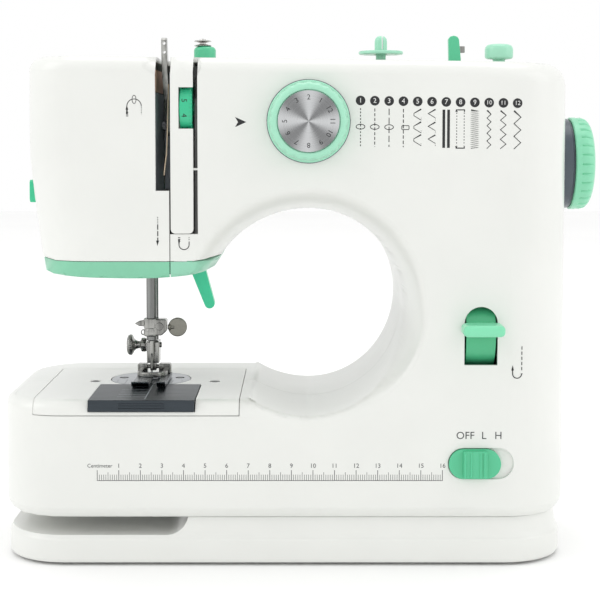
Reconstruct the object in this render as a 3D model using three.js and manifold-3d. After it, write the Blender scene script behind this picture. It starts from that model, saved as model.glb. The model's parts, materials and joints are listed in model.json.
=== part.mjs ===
// Compact free-arm sewing machine with twelve stitch patterns.
//
// Millimetres. While it is being built, X runs right towards the hand wheel, Y runs back
// from the flat front face, and Z runs up from the table. At the end the whole machine is
// shifted so that its origin is the bottom centre of its bounding box.

import * as THREE from 'three';
import { mergeVertices } from 'three/addons/utils/BufferGeometryUtils.js';
import Module from 'manifold-3d';

const wasm = await Module();
wasm.setup();

// ---- driving dimensions ------------------------------------------------------------------

const GAP = 0.3;                 // running clearance between neighbouring pieces
const WALL = 2.5;                // moulded wall thickness
const DEPTH = 115;               // front face to back face
const MID = DEPTH / 2;           // parting plane between front and rear covers
const BODY_LEFT = -141;          // free-arm end
const BODY_RIGHT = 126;          // hand wheel side of the pillar
const BODY_LOW = 23;             // lower edge of the covers, on the base tray
const BED_TOP = 78;
const HEAD_LEFT = -127.6;
const HEAD_LOW = 134.6;          // lowest point of the head
const TRIM_TOP = 142.4;          // top of the green band round the head
const TOP_MID = 235.5;           // height of the arm's top at X = 0
const TOP_SLOPE = -0.0126;       // the top falls a little towards the hand wheel
const PLAN_RADIUS = 30;          // plan corners of bed and pillar
const HEAD_RADIUS = 25;          // plan corners of the head
const TOP_CHAMFER = 4;

const THROAT = { x: 4.4, z: 117.8, right: 45.7, left: 50, up: 47.4 };
const THROAT_STEPS = 36;
const RIM_DEPTH = 40;            // how far the flared front rim reaches into the throat
const RIM_TOP = 12;              // flare at the top of the throat
const RIM_BOTTOM = 1;            // flare at its bottom

const SHAFT_Z = 186.4;           // main shaft and hand wheel axis
const SHAFT_R = 4;
const LOWER_Y = 37;              // lower shaft, and the hook's centre
const LOWER_Z = 44;
const LOWER_R = 3;
const NEEDLE = { x: -74.2, y: 56 };
const PRESSER = { x: -74.2, y: 66 };
const BAR_R = 2.5;
const SEAM_X = -59.7;            // joint between the face cover and the front cover
const HOOK_X = -75;

const WHEEL_RIGHT = 143.2;       // outer face of the hand wheel
const LEVER_FRONT = -13.2;       // front of the reverse lever's handle

const ROUND = 20;                // sides of an ordinary turned piece
const SMALL = 10;                // sides of a small one
const FAR = 160;                 // beyond the machine's ends, for cutting blocks
const HIGH = 260;                // above its top
const CENTRE_X = (BODY_LEFT + WHEEL_RIGHT) / 2;
const CENTRE_Y = (DEPTH + LEVER_FRONT) / 2;

// ---- materials ---------------------------------------------------------------------------

function material(colour, roughness, metalness = 0) {
  return new THREE.MeshStandardMaterial({ color: colour, roughness, metalness });
}

const white = material(0xecede8, 0.3);
const mint = material(0x74c9a1, 0.35);
const green = material(0x37cf97, 0.35);
const darkGrey = material(0x4f5a66, 0.4);
const steel = material(0xb9bcbc, 0.25, 1);
const blackMetal = material(0x3a4147, 0.35, 0.6);
const rubber = material(0x2b2b2b, 0.9);
const castMetal = material(0x8d9196, 0.6, 0.8);
const black = material(0x222426, 0.5);
const lens = material(0xf4f6f0, 0.1);
const brass = material(0xb08d4a, 0.35, 1);

// ---- solids ------------------------------------------------------------------------------

// Turns a closed geometry into a manifold solid, without its collapsed triangles.
function toSolid(geometry) {
  const bare = new THREE.BufferGeometry();
  const source = geometry.index ? geometry.toNonIndexed() : geometry;
  bare.setAttribute('position', source.getAttribute('position').clone());
  const merged = mergeVertices(bare, 1e-4);
  const index = merged.index.array;
  const triVerts = [];
  for (let i = 0; i < index.length; i += 3) {
    const [a, b, c] = [index[i], index[i + 1], index[i + 2]];
    if (a !== b && b !== c && c !== a) {
      triVerts.push(a, b, c);
    }
  }
  return new wasm.Manifold(new wasm.Mesh({
    numProp: 3,
    vertProperties: new Float32Array(merged.getAttribute('position').array),
    triVerts: new Uint32Array(triVerts),
  }));
}

function union(first, ...others) {
  return others.reduce((sum, solid) => sum.add(solid), first);
}

function cut(solid, ...tools) {
  return tools.reduce((rest, tool) => rest.subtract(tool), solid);
}

function box(x0, x1, y0, y1, z0, z1) {
  const geometry = new THREE.BoxGeometry(x1 - x0, y1 - y0, z1 - z0);
  geometry.translate((x0 + x1) / 2, (y0 + y1) / 2, (z0 + z1) / 2);
  return toSolid(geometry);
}

function extruded(shape, length, segments) {
  return new THREE.ExtrudeGeometry(shape, {
    depth: length, bevelEnabled: false, curveSegments: segments,
  });
}

// A shape drawn in X and Z, extruded from depth y0 to y1.
function prismY(shape, y0, y1, segments = 4) {
  const geometry = extruded(shape, y1 - y0, segments);
  geometry.rotateX(Math.PI / 2);
  geometry.translate(0, y1, 0);
  return toSolid(geometry);
}

// A shape drawn in X and Y, extruded from height z0 to z1.
function prismZ(shape, z0, z1, segments = 4) {
  const geometry = extruded(shape, z1 - z0, segments);
  geometry.translate(0, 0, z0);
  return toSolid(geometry);
}

// A shape drawn in Y and Z, extruded from x0 to x1.
function prismX(shape, x0, x1, segments = 4) {
  const geometry = extruded(shape, x1 - x0, segments);
  geometry.applyMatrix4(new THREE.Matrix4().set(
    0, 0, 1, x0,
    1, 0, 0, 0,
    0, 1, 0, 0,
    0, 0, 0, 1,
  ));
  return toSolid(geometry);
}

function polygon(points) {
  return new THREE.Shape(points.map(([a, b]) => new THREE.Vector2(a, b)));
}

// Profile points are [radius, position along the axis], in rising position, and the two
// ends are closed onto the axis.
function turned(profile, sides) {
  const first = profile[0];
  const last = profile[profile.length - 1];
  const closed = [[0, first[1]], ...profile, [0, last[1]]];
  return new THREE.LatheGeometry(closed.map(([r, h]) => new THREE.Vector2(r, h)), sides);
}

function turnX(profile, y, z, sides = ROUND) {
  const geometry = turned(profile, sides);
  geometry.rotateZ(-Math.PI / 2);
  geometry.translate(0, y, z);
  return toSolid(geometry);
}

function turnY(profile, x, z, sides = ROUND) {
  const geometry = turned(profile, sides);
  geometry.translate(x, 0, z);
  return toSolid(geometry);
}

function turnZ(profile, x, y, sides = ROUND) {
  const geometry = turned(profile, sides);
  geometry.rotateX(Math.PI / 2);
  geometry.translate(x, y, 0);
  return toSolid(geometry);
}

function rodX(r, x0, x1, y, z, sides = ROUND) {
  return turnX([[r, x0], [r, x1]], y, z, sides);
}

function rodY(r, y0, y1, x, z, sides = ROUND) {
  return turnY([[r, y0], [r, y1]], x, z, sides);
}

function rodZ(r, z0, z1, x, y, sides = ROUND) {
  return turnZ([[r, z0], [r, z1]], x, y, sides);
}

// Skins a stack of convex rings that all have the same number of points.
function loft(rings) {
  const count = rings[0].length;
  const positions = rings.flat(2);
  const faces = [];
  for (let k = 0; k + 1 < rings.length; k += 1) {
    for (let i = 0; i < count; i += 1) {
      const a = k * count + i;
      const b = k * count + (i + 1) % count;
      faces.push(a, b, a + count, b, b + count, a + count);
    }
  }
  const end = (rings.length - 1) * count;
  for (let i = 1; i + 1 < count; i += 1) {
    faces.push(0, i + 1, i);
    faces.push(end, end + i, end + i + 1);
  }
  const geometry = new THREE.BufferGeometry();
  geometry.setAttribute('position', new THREE.Float32BufferAttribute(positions, 3));
  geometry.setIndex(faces);
  return toSolid(geometry);
}

// ---- outlines ----------------------------------------------------------------------------

// Rounded rectangle in plan, with its own corner radius at each end.
function planShape(x0, x1, y0, y1, rLeft, rRight) {
  const shape = new THREE.Shape();
  shape.absarc(x1 - rRight, y0 + rRight, rRight, -Math.PI / 2, 0, false);
  shape.absarc(x1 - rRight, y1 - rRight, rRight, 0, Math.PI / 2, false);
  shape.absarc(x0 + rLeft, y1 - rLeft, rLeft, Math.PI / 2, Math.PI, false);
  shape.absarc(x0 + rLeft, y0 + rLeft, rLeft, Math.PI, Math.PI * 1.5, false);
  return shape;
}

function stadium(x0, x1, z0, z1) {
  const r = (z1 - z0) / 2;
  const shape = new THREE.Shape();
  shape.absarc(x1 - r, z0 + r, r, -Math.PI / 2, Math.PI / 2, false);
  shape.absarc(x0 + r, z0 + r, r, Math.PI / 2, Math.PI * 1.5, false);
  return shape;
}

function throatPoint(angle, grow) {
  const side = Math.cos(angle) < 0 ? THROAT.left : THROAT.right;
  return [
    THROAT.x + (side + grow) * Math.cos(angle),
    THROAT.z + (THROAT.up + grow) * Math.sin(angle),
  ];
}

// The C-shaped front view of the covers, drawn inwards by inset. The throat can be drawn
// back further than the outside, and an inset outline runs out through the open bottoms.
function bodyOutline(inset, throatGrow = inset) {
  const low = inset > 0 ? BODY_LOW - 3 : BODY_LOW;
  const bed = BED_TOP - inset;
  const headLow = inset > 0 ? HEAD_LOW - 4 : HEAD_LOW + 2.7;
  const reach = THROAT.up + throatGrow;
  const from = Math.PI + Math.asin((THROAT.z - bed) / reach);
  const to = Math.PI * 3 - Math.asin((headLow - THROAT.z) / reach);
  const points = [[BODY_LEFT + inset, low], [BODY_LEFT + inset, bed]];
  for (let i = 0; i <= THROAT_STEPS; i += 1) {
    points.push(throatPoint(from + (to - from) * (i / THROAT_STEPS), throatGrow));
  }
  if (inset === 0) {
    points.push([-75, HEAD_LOW]);
  }
  points.push([HEAD_LEFT + 6.9 + inset, inset > 0 ? headLow : HEAD_LOW + 1.8]);
  points.push([HEAD_LEFT + 3.6 + inset, 161.7]);
  points.push([HEAD_LEFT + 0.9 + inset, 183.3]);
  points.push([HEAD_LEFT + inset, 192]);
  const topLeft = TOP_MID + TOP_SLOPE * HEAD_LEFT - inset;
  const topRight = TOP_MID + TOP_SLOPE * BODY_RIGHT - inset;
  points.push([HEAD_LEFT + inset, topLeft - 6]);
  points.push([HEAD_LEFT + 1.8 + inset, topLeft - 1.8]);
  points.push([HEAD_LEFT + 6 + inset, topLeft]);
  const corner = 10;
  for (let i = 0; i <= 4; i += 1) {
    const angle = Math.PI / 2 * (1 - i / 4);
    points.push([
      BODY_RIGHT - inset - corner + corner * Math.cos(angle),
      topRight - corner + corner * Math.sin(angle),
    ]);
  }
  points.push([BODY_RIGHT - inset, low]);
  return polygon(points);
}

// The outside of the body, or its hollow when inset is the wall thickness.
function bodySolid(inset, throatGrow = inset) {
  const front = prismY(bodyOutline(inset, throatGrow), inset, DEPTH - inset);
  const top = TOP_MID + 8;
  const split = 100;
  const bed = prismZ(planShape(BODY_LEFT + inset, BODY_RIGHT - inset, inset, DEPTH - inset,
    PLAN_RADIUS - inset, PLAN_RADIUS - inset), 0, split);
  const head = prismZ(planShape(HEAD_LEFT + inset, BODY_RIGHT - inset, inset, DEPTH - inset,
    HEAD_RADIUS - inset, PLAN_RADIUS - inset), split, top);
  return front.intersect(union(bed, head)).intersect(roof(inset));
}

// Everything under the arm's sloping top, with its long edges chamfered.
function roof(inset) {
  const z = TOP_MID - inset;
  const shape = polygon([
    [inset, 0], [DEPTH - inset, 0], [DEPTH - inset, z - TOP_CHAMFER],
    [DEPTH - inset - TOP_CHAMFER, z], [inset + TOP_CHAMFER, z], [inset, z - TOP_CHAMFER],
  ]);
  const geometry = extruded(shape, 2 * FAR, 1);
  geometry.applyMatrix4(new THREE.Matrix4().set(
    0, 0, 1, -FAR,
    1, 0, 0, 0,
    0, 1, TOP_SLOPE, -FAR * TOP_SLOPE,
    0, 0, 0, 1,
  ));
  return toSolid(geometry);
}

// The flared mouth that the front cover has round the throat.
function throatFlare() {
  const rings = [];
  for (const [y, share] of [[-1, 1], [10, 0.66], [24, 0.3], [RIM_DEPTH, 0]]) {
    const ring = [];
    for (let i = 0; i < THROAT_STEPS; i += 1) {
      const angle = -i / THROAT_STEPS * Math.PI * 2;
      const flare = RIM_BOTTOM
        + (RIM_TOP - RIM_BOTTOM) * ((1 + Math.sin(angle)) / 2) ** 0.45;
      const [x, z] = throatPoint(angle, flare * share);
      ring.push([x, y, z]);
    }
    rings.push(ring);
  }
  return loft(rings);
}

// ---- covers and panels -------------------------------------------------------------------

const BED_PANEL = { x0: -124, x1: -28.3, y1: 89, lip: 71 };
const SLIDE = { x0: -98, x1: -48.8, y1: 41.8, low: 73 };
const PLATE = { x: -75, y: 60, r: 19.8, cut: 42.2 };
const STRIP = { x0: -59.2, x1: -48.8, low: 155.4 };
const TAKEUP_SLOT = { x0: -66.1, front: 175, back: 46 };
const LEVER_WINDOW = { x0: 75.8, x1: 91.1, z0: 94.5, z1: 121.6 };
const SWITCH_SLOT = { x0: 68.4, x1: 99.2, z0: 41.2, z1: 55.9 };
const DIAL = { x: 3.9, z: 206.7, r: 18.8 };
const WINDER = { x: 39, y: 40 };
const LATCH = { x: 74.8, y: 40, z: 229 };
const SPOOL = { x: 96, y: 40 };
const BED_SCREWS = { left: [-101.9, 52.6], right: [-42.4, 51.9] };
const PLATE_SCREWS = { left: [-88.9, 62.7], right: [-60.7, 62.7] };
const JACKS = { power: [75, 62], pedal: [75, 80] };
const REAR_SCREWS = [[-105, 46], [100, 46], [104, 215], [-40, 215]];

const hollow = union(
  bodySolid(WALL, RIM_TOP + WALL).intersect(box(-FAR, FAR, 0, RIM_DEPTH + 2, 0, HIGH)),
  bodySolid(WALL).intersect(box(-FAR, FAR, RIM_DEPTH, DEPTH, 0, HIGH)),
);
const shell = cut(bodySolid(0), hollow, throatFlare());
const headBand = box(-FAR, -30, -1, DEPTH + 1, 100, TRIM_TOP);
const faceSide = box(-FAR, SEAM_X - 0.2, -1, DEPTH + 1, TRIM_TOP + 0.3, HIGH);
const panelPocket = box(BED_PANEL.x0 - GAP, BED_PANEL.x1 + GAP, -1, BED_PANEL.y1 + GAP,
  BED_PANEL.lip - GAP, 85);

function archShape({ x0, x1, z0, z1 }) {
  const r = (x1 - x0) / 2;
  const shape = new THREE.Shape();
  shape.moveTo(x0, z0);
  shape.lineTo(x1, z0);
  shape.absarc(x0 + r, z1 - r, r, 0, Math.PI, false);
  return shape;
}

function coverBody() {
  const headGap = box(-FAR, -30, -1, DEPTH + 1, 100, TRIM_TOP + GAP);
  const faceGap = box(-FAR, SEAM_X + 0.2, -1, DEPTH + 1, 100, HIGH);
  return cut(shell, headGap, faceGap, panelPocket, rodX(9, 118, 130, MID, SHAFT_Z));
}

const covers = coverBody();

function frontCover() {
  const half = covers.intersect(box(-FAR, FAR, -1, MID - 0.15, 0, HIGH));
  const { x0, x1, z0, z1 } = SWITCH_SLOT;
  return cut(half,
    box(SEAM_X - 1, STRIP.x1 + 2, -1, 6, STRIP.low - GAP, HIGH),
    prismY(archShape(LEVER_WINDOW), -1, 4),
    prismY(stadium(x0, x1, z0, z1), -1, 1.6),
    rodY(5.4, -1, 4, DIAL.x, DIAL.z),
    rodZ(2.6, 225, 240, WINDER.x, WINDER.y, SMALL),
    box(LATCH.x - 8, LATCH.x + 5, LATCH.y - 3, LATCH.y + 3, 225, 240),
    rodZ(3.4, 225, 240, SPOOL.x, SPOOL.y, SMALL));
}

function rearCover() {
  const half = covers.intersect(box(-FAR, FAR, MID + 0.15, DEPTH + 1, 0, HIGH));
  const holes = REAR_SCREWS.map(([x, z]) => rodY(3, 110, 117, x, z, SMALL));
  const sockets = [
    rodX(4.9, 118, 130, ...JACKS.power),
    rodX(4.4, 118, 130, ...JACKS.pedal),
  ];
  return cut(half, ...holes, ...sockets);
}

function faceCover() {
  const { x0, front, back } = TAKEUP_SLOT;
  return cut(shell.intersect(faceSide),
    box(x0, SEAM_X, -1, 12, front, HIGH),
    box(x0, SEAM_X, -1, back, 224, HIGH));
}

function faceStrip() {
  const region = box(STRIP.x0, STRIP.x1, -1, 5.7, STRIP.low, HIGH);
  const windowCut = box(-55.4, STRIP.x1 + 1, -1, 6, 203.4, 222.2);
  return cut(bodySolid(0).intersect(region), bodySolid(2.3), windowCut);
}

function headTrim(left) {
  const band = shell.intersect(headBand);
  const side = left ? box(-FAR, SEAM_X - 0.2, -1, 120, 100, 200)
    : box(SEAM_X + 0.2, 0, -1, 120, 100, 200);
  return band.intersect(side);
}

function bedCover() {
  const { x0, x1, y1, lip } = BED_PANEL;
  const region = union(
    box(x0, x1, -1, y1, BED_TOP - WALL, BED_TOP + 1),
    box(x0, x1, -1, WALL, lip, BED_TOP + 1),
  );
  return cut(bodySolid(0).intersect(region),
    rodZ(PLATE.r + GAP, 70, 80, PLATE.x, PLATE.y, 32),
    box(SLIDE.x0 - GAP, SLIDE.x1 + GAP, -2, SLIDE.y1 + 0.4, SLIDE.low - GAP, 80),
    rodZ(2.6, 70, 80, ...BED_SCREWS.left, SMALL),
    rodZ(2.6, 70, 80, ...BED_SCREWS.right, SMALL));
}

function roundedRing(inset, z) {
  const shape = planShape(-140 + inset, 125 - inset, 0.8 + inset, DEPTH - 0.8 - inset,
    PLAN_RADIUS - inset, PLAN_RADIUS - inset);
  return shape.extractPoints(4).shape.map((p) => [p.x, p.y, z]);
}

function baseTray() {
  const wall = 3.2;
  const outside = loft([roundedRing(0.8, 1.3), roundedRing(0, 2.3), roundedRing(0, 12.5),
    roundedRing(2.8, BODY_LOW - 0.4)]);
  const inside = prismZ(planShape(-140 + wall, 125 - wall, 0.8 + wall, DEPTH - 0.8 - wall,
    PLAN_RADIUS - wall, PLAN_RADIUS - wall), 3.5, 40);
  const deck = box(-FAR, -48, -1, DEPTH + 1, 12.1, 40);
  const sleeve = prismY(stadium(-180, -52, 14.3, 35), -1, DEPTH + 1);
  return cut(outside, cut(inside, deck), sleeve);
}

function armFloor() {
  const edge = WALL + GAP;
  return prismZ(planShape(BODY_LEFT + edge, -34, edge, DEPTH - edge, PLAN_RADIUS - edge, 6),
    BODY_LOW + 0.3, BODY_LOW + 2.3);
}

function headFloor() {
  const plate = prismZ(planShape(-116, -56, 6, DEPTH - 6, 18, 8), 143, 144.6);
  const barOpening = box(-84, -58, 46, 72, 140, 150);
  const lifterOpening = box(-66, -40, 70, 88, 140, 150);
  const threadOpening = box(-66.5, -58, 0, 30, 140, 150);
  return cut(plate, barOpening, lifterOpening, threadOpening);
}

// ---- needle plate, slide plate and stitch-forming parts ------------------------------------

const FEED_SLOTS = [[-81.5, -78.9], [-69.5, -66.9]];

function needlePlate() {
  const disc = cut(rodZ(PLATE.r, 76.2, BED_TOP, PLATE.x, PLATE.y, 32),
    box(-110, -40, 20, PLATE.cut, 70, 80),
    box(-78, -70.4, 54.6, 57.4, 70, 80),
    rodZ(2.3, 70, 80, ...PLATE_SCREWS.left, SMALL),
    rodZ(2.3, 70, 80, ...PLATE_SCREWS.right, SMALL));
  return cut(disc, ...FEED_SLOTS.map(([x0, x1]) => box(x0, x1, 46, 66, 70, 80)));
}

function slidePlate() {
  const { x0, x1, y1, low } = SLIDE;
  return union(box(x0, x1, -1.2, y1, 76.6, BED_TOP + 0.4), box(x0, x1, -1.2, 0.8, low, 77));
}

function feedDog() {
  const base = cut(box(-83, -65.4, 46.5, 67, 70.6, 75.6), box(-78.4, -70, 52, 60, 70, 76));
  const bars = FEED_SLOTS.map(([x0, x1]) => box(x0 + 0.5, x1 - 0.5, 49, 63, 75, 78.1));
  return union(base, ...bars);
}

function hook() {
  return turnTube([[7.6, 52], [11.6, 56], [11.6, 57], [4, 57], [4, 57.3], [17, 57.3], [17, 69],
    [14.6, 69], [14.6, 59], [0, 59]], HOOK_X, LOWER_Y);
}

// A cup or tube turned about Z, whose profile is already closed onto the axis.
function turnTube(profile, x, y) {
  const points = [[0, profile[0][1]], ...profile].map(([r, h]) => new THREE.Vector2(r, h));
  const geometry = new THREE.LatheGeometry(points, ROUND);
  geometry.rotateX(Math.PI / 2);
  geometry.translate(x, y, 0);
  return toSolid(geometry);
}

function bobbinCase() {
  return turnTube([[14.2, 59.4], [14.2, 70], [11.2, 70], [11.2, 60.6], [0, 60.6]],
    HOOK_X, LOWER_Y);
}

function bobbin() {
  const spool = turnZ([[10.4, 61], [10.4, 62], [4, 62], [4, 68.6], [10.4, 68.6], [10.4, 69.6]],
    HOOK_X, LOWER_Y);
  return cut(spool, rodZ(3, 60, 71, HOOK_X, LOWER_Y, SMALL));
}

// ---- frame and drive -----------------------------------------------------------------------

const FRAME_Y0 = 70;
const FRAME_Y1 = 74;
const LIFT_PIVOT = { x: -56, z: 143 };
const TAKEUP_PIVOT = { y: 40, z: 205 };

function chassis() {
  const plate = union(
    box(-118, 100, FRAME_Y0, FRAME_Y1, 27, 62),
    box(62, 100, FRAME_Y0, FRAME_Y1, 27, 225),
    box(-95, 100, FRAME_Y0, FRAME_Y1, 176, 225),
    box(-95, -50, FRAME_Y0, FRAME_Y1, 148, 225),
    box(-62, -50, FRAME_Y0, FRAME_Y1, 138, 150),
    box(-118, 100, 14, 102, 27, 29.5),
  );
  const arms = union(
    box(-38, -32, 50, FRAME_Y0 + 1, 178, 195),
    box(84, 90, 50, FRAME_Y0 + 1, 178, 195),
    box(-35, -30, 30, FRAME_Y0 + 1, 29, 51),
    box(84, 90, 30, FRAME_Y0 + 1, 29, 51),
    box(-80, -68, 50, FRAME_Y0 + 1, 149, 157),
    box(-80, -70, 50, FRAME_Y0 + 1, 196, 202),
    box(-60.6, -56, 35, FRAME_Y0 + 1, 201, 209),
  );
  const pins = union(
    rodX(2, -66.5, -58, TAKEUP_PIVOT.y, TAKEUP_PIVOT.z, SMALL),
    rodY(2, FRAME_Y1 - 1, 83, LIFT_PIVOT.x, LIFT_PIVOT.z, SMALL),
  );
  return cut(union(plate, arms, pins),
    rodX(SHAFT_R + GAP, -42, 96, MID, SHAFT_Z),
    rodX(LOWER_R + GAP, -42, 96, LOWER_Y, LOWER_Z),
    rodZ(BAR_R + GAP, 145, 206, NEEDLE.x, NEEDLE.y, SMALL),
    rodZ(BAR_R + GAP, 145, 206, PRESSER.x, PRESSER.y, SMALL));
}

function mainShaft() {
  const shaft = turnX([[12, -58], [12, -54], [SHAFT_R, -54], [SHAFT_R, 134]], MID, SHAFT_Z);
  return union(shaft, rodX(2, -66, -57, MID + 9, SHAFT_Z, SMALL));
}

function lowerPulley() {
  return cut(rodX(12, 102, 108, LOWER_Y, LOWER_Z),
    rodX(LOWER_R + GAP, 101, 109, LOWER_Y, LOWER_Z));
}

// Timing pulley and motor pulley, moulded as one.
function shaftPulley() {
  const steps = turnX([[12, 102], [12, 108], [9, 108], [9, 110.5], [16, 110.5], [16, 116]],
    MID, SHAFT_Z);
  return cut(steps, rodX(SHAFT_R + GAP, 101, 117, MID, SHAFT_Z));
}

function handWheel() {
  const rim = turnX([[22.75, 133.2], [22.75, 138.6], [21.6, 141.6], [18.5, WHEEL_RIGHT],
    [15, WHEEL_RIGHT], [13, 141.6]], MID, SHAFT_Z, 32);
  return cut(rim, rodX(SHAFT_R + GAP, 130, 134.4, MID, SHAFT_Z));
}

function wheelHub() {
  return cut(rodX(22.2, 126.6, 132.9, MID, SHAFT_Z, 32),
    rodX(SHAFT_R + GAP, 120, 140, MID, SHAFT_Z));
}

function lowerShaft() {
  return turnX([[7.6, -66.7], [11.6, -62.7], [11.6, -60], [LOWER_R, -60], [LOWER_R, 110]],
    LOWER_Y, LOWER_Z);
}

// The outline of a belt round two pulleys, given as [y, z, radius].
function beltShape([y0, z0, r0], [y1, z1, r1], grow) {
  const along = Math.atan2(z1 - z0, y1 - y0);
  const lean = Math.acos((r0 - r1) / Math.hypot(y1 - y0, z1 - z0));
  const shape = new THREE.Shape();
  shape.absarc(y1, z1, r1 + grow, along - lean, along + lean, false);
  shape.absarc(y0, z0, r0 + grow, along + lean, along - lean + Math.PI * 2, false);
  return shape;
}

function belt(first, second, x0, x1) {
  return cut(prismX(beltShape(first, second, 1.8), x0, x1, 8),
    prismX(beltShape(first, second, 2 * GAP), x0 - 1, x1 + 1, 8));
}

const MOTOR = { y: 91, z: 110, r: 15 };

function motor() {
  return turnX([[13, 58], [MOTOR.r, 60], [MOTOR.r, 97], [5, 97], [5, 100]], MOTOR.y, MOTOR.z);
}

function motorPulley() {
  return turnX([[1.6, 100.3], [1.6, 110], [6, 110], [6, 111], [5, 111], [5, 116], [6, 116],
    [6, 117]], MOTOR.y, MOTOR.z);
}

// ---- needle bar, presser bar and take-up ----------------------------------------------------

function needleBar() {
  return rodZ(BAR_R, 98, 214, NEEDLE.x, NEEDLE.y, 16);
}

function crankLink() {
  const block = box(-79, -69.2, 51.5, 60.5, 171, 176);
  const link = prismX(stadiumYZ(57, 173.5, MID + 9, SHAFT_Z, 3), -69.4, -67);
  return cut(union(block, link), rodZ(BAR_R + GAP, 160, 180, NEEDLE.x, NEEDLE.y, 16));
}

// A bar with round ends between two points given in Y and Z.
function stadiumYZ(y0, z0, y1, z1, r) {
  const along = Math.atan2(z1 - z0, y1 - y0);
  const shape = new THREE.Shape();
  shape.absarc(y1, z1, r, along - Math.PI / 2, along + Math.PI / 2, false);
  shape.absarc(y0, z0, r, along + Math.PI / 2, along + Math.PI * 1.5, false);
  return shape;
}

function needleClamp() {
  const sleeve = rodZ(4, 100.3, 109.3, NEEDLE.x, NEEDLE.y, 16);
  const block = box(NEEDLE.x, -66.3, 52.5, 59.5, 100.6, 109);
  const guide = prismY(polygon([[-77, 108.4], [-77, 105], [-80.5, 105.6], [-82.6, 106.4],
    [-80.5, 107.8]]), 55, 57);
  return cut(union(sleeve, block, guide),
    rodZ(BAR_R + GAP, 99, 111, NEEDLE.x, NEEDLE.y, 16));
}

function clampScrew() {
  return union(rodX(1.2, -66, -63, NEEDLE.y, 104.7, SMALL),
    rodY(4.7, NEEDLE.y - 0.8, NEEDLE.y + 0.8, -61.2, 104.7));
}

function needle() {
  return turnZ([[0.15, 81], [0.5, 83.5], [0.5, 90], [0.9, 91], [0.9, 97.6]], NEEDLE.x, NEEDLE.y,
    8);
}

function presserBar() {
  const collar = rodZ(3.7, 158, 161, PRESSER.x, PRESSER.y, 16);
  return union(rodZ(BAR_R, 97, 206, PRESSER.x, PRESSER.y, 16), collar);
}

class Helix extends THREE.Curve {
  constructor(r, z0, z1, turns) {
    super();
    Object.assign(this, { r, z0, z1, turns });
  }

  getPoint(t, target = new THREE.Vector3()) {
    const angle = t * this.turns * Math.PI * 2;
    return target.set(PRESSER.x + this.r * Math.cos(angle), PRESSER.y + this.r * Math.sin(angle),
      this.z0 + (this.z1 - this.z0) * t);
  }
}

function presserSpring() {
  const wire = new THREE.Shape();
  wire.absarc(0, 0, 0.35, 0, Math.PI * 2, false);
  const geometry = new THREE.ExtrudeGeometry(wire, {
    extrudePath: new Helix(3.3, 162, 195, 6), steps: 60, curveSegments: 2, bevelEnabled: false,
  });
  return toSolid(geometry);
}

const FOOT_PIN = { y: 65, z: 83.4 };

function footHolder() {
  const block = union(box(-77.4, -71, 61, 71, 85.6, 96.7), box(-75.8, -72.6, 62.6, 68, 81.6, 86));
  return cut(block, rodX(1 + GAP, -78, -70, FOOT_PIN.y, FOOT_PIN.z, SMALL));
}

function footScrew() {
  return turnX([[4, -87.6], [5.2, -86.8], [5.2, -84.6], [2, -83], [1.8, -80.2], [3.6, -80.2],
    [3.6, -77.8]], PRESSER.y, 94.3, 20);
}

function presserFoot() {
  const sole = cut(box(-81.4, -65, 27.5, 66.6, 78.7, 80.4),
    box(-73, -69.2, 27, 51, 78, 81),
    box(-77.4, -70.6, 50, 60, 78, 81));
  const ears = union(box(-80, -77.7, 62.6, 66.8, 80, 85.2), box(-70.7, -68.4, 62.6, 66.8, 80, 85.2));
  const pin = rodX(1, -78, -70, FOOT_PIN.y, FOOT_PIN.z, SMALL);
  const toe = prismX(polygon([[27.5, 80], [31, 80], [27.5, 81.6]]), -81.4, -73);
  return union(sole, ears, toe, pin);
}

function presserLifter() {
  const dx = 9.6;
  const dz = -28.8;
  const along = Math.atan2(dz, dx);
  const shape = new THREE.Shape();
  shape.absarc(LIFT_PIVOT.x + dx, LIFT_PIVOT.z + dz, 2.6, along - Math.PI / 2,
    along + Math.PI / 2, false);
  shape.absarc(LIFT_PIVOT.x, LIFT_PIVOT.z, 4.4, along + Math.PI / 2, along + Math.PI * 1.5,
    false);
  return cut(prismY(shape, 75, 81), rodY(2.3, 70, 90, LIFT_PIVOT.x, LIFT_PIVOT.z, SMALL));
}

function takeUpLever() {
  const { y, z } = TAKEUP_PIVOT;
  const arm = new THREE.Shape();
  arm.absarc(y, z, 5, -Math.PI * 0.85, Math.PI * 0.2, false);
  arm.lineTo(24, 231);
  arm.lineTo(19, 243);
  arm.absarc(15.5, 243, 2.6, 0, Math.PI, false);
  arm.lineTo(16, 230);
  return cut(prismX(arm, -64.8, -61.4),
    rodX(2.35, -67, -60, y, z, SMALL),
    rodX(1, -67, -60, 15.6, 242.6, 8));
}

// ---- controls and top fittings --------------------------------------------------------------

function dialRing() {
  const shape = new THREE.Shape();
  const lobes = 16;
  const steps = lobes * 3;
  for (let i = 0; i < steps; i += 1) {
    const angle = i / steps * Math.PI * 2;
    const r = 17.3 + 0.6 * Math.cos(angle * lobes);
    const point = [DIAL.x + r * Math.cos(angle), DIAL.z + r * Math.sin(angle)];
    if (i === 0) {
      shape.moveTo(...point);
    } else {
      shape.lineTo(...point);
    }
  }
  const flange = turnY([[DIAL.r, -2.6], [DIAL.r, -0.4]], DIAL.x, DIAL.z, 32);
  return union(prismY(shape, -9.8, -2.4), flange, rodY(5, -1, 9, DIAL.x, DIAL.z));
}

function dialFace() {
  return rodY(13.9, -11, -10.1, DIAL.x, DIAL.z, 32);
}

function tensionDial() {
  return turnX([[3, -56.6], [3, -55], [12.3, -55], [12.3, -49.2], [3, -49.2], [3, -48]],
    11.6, 212.8, 24);
}

const REVERSE = { y: 16.5, z: 108, r: 17 };

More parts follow.
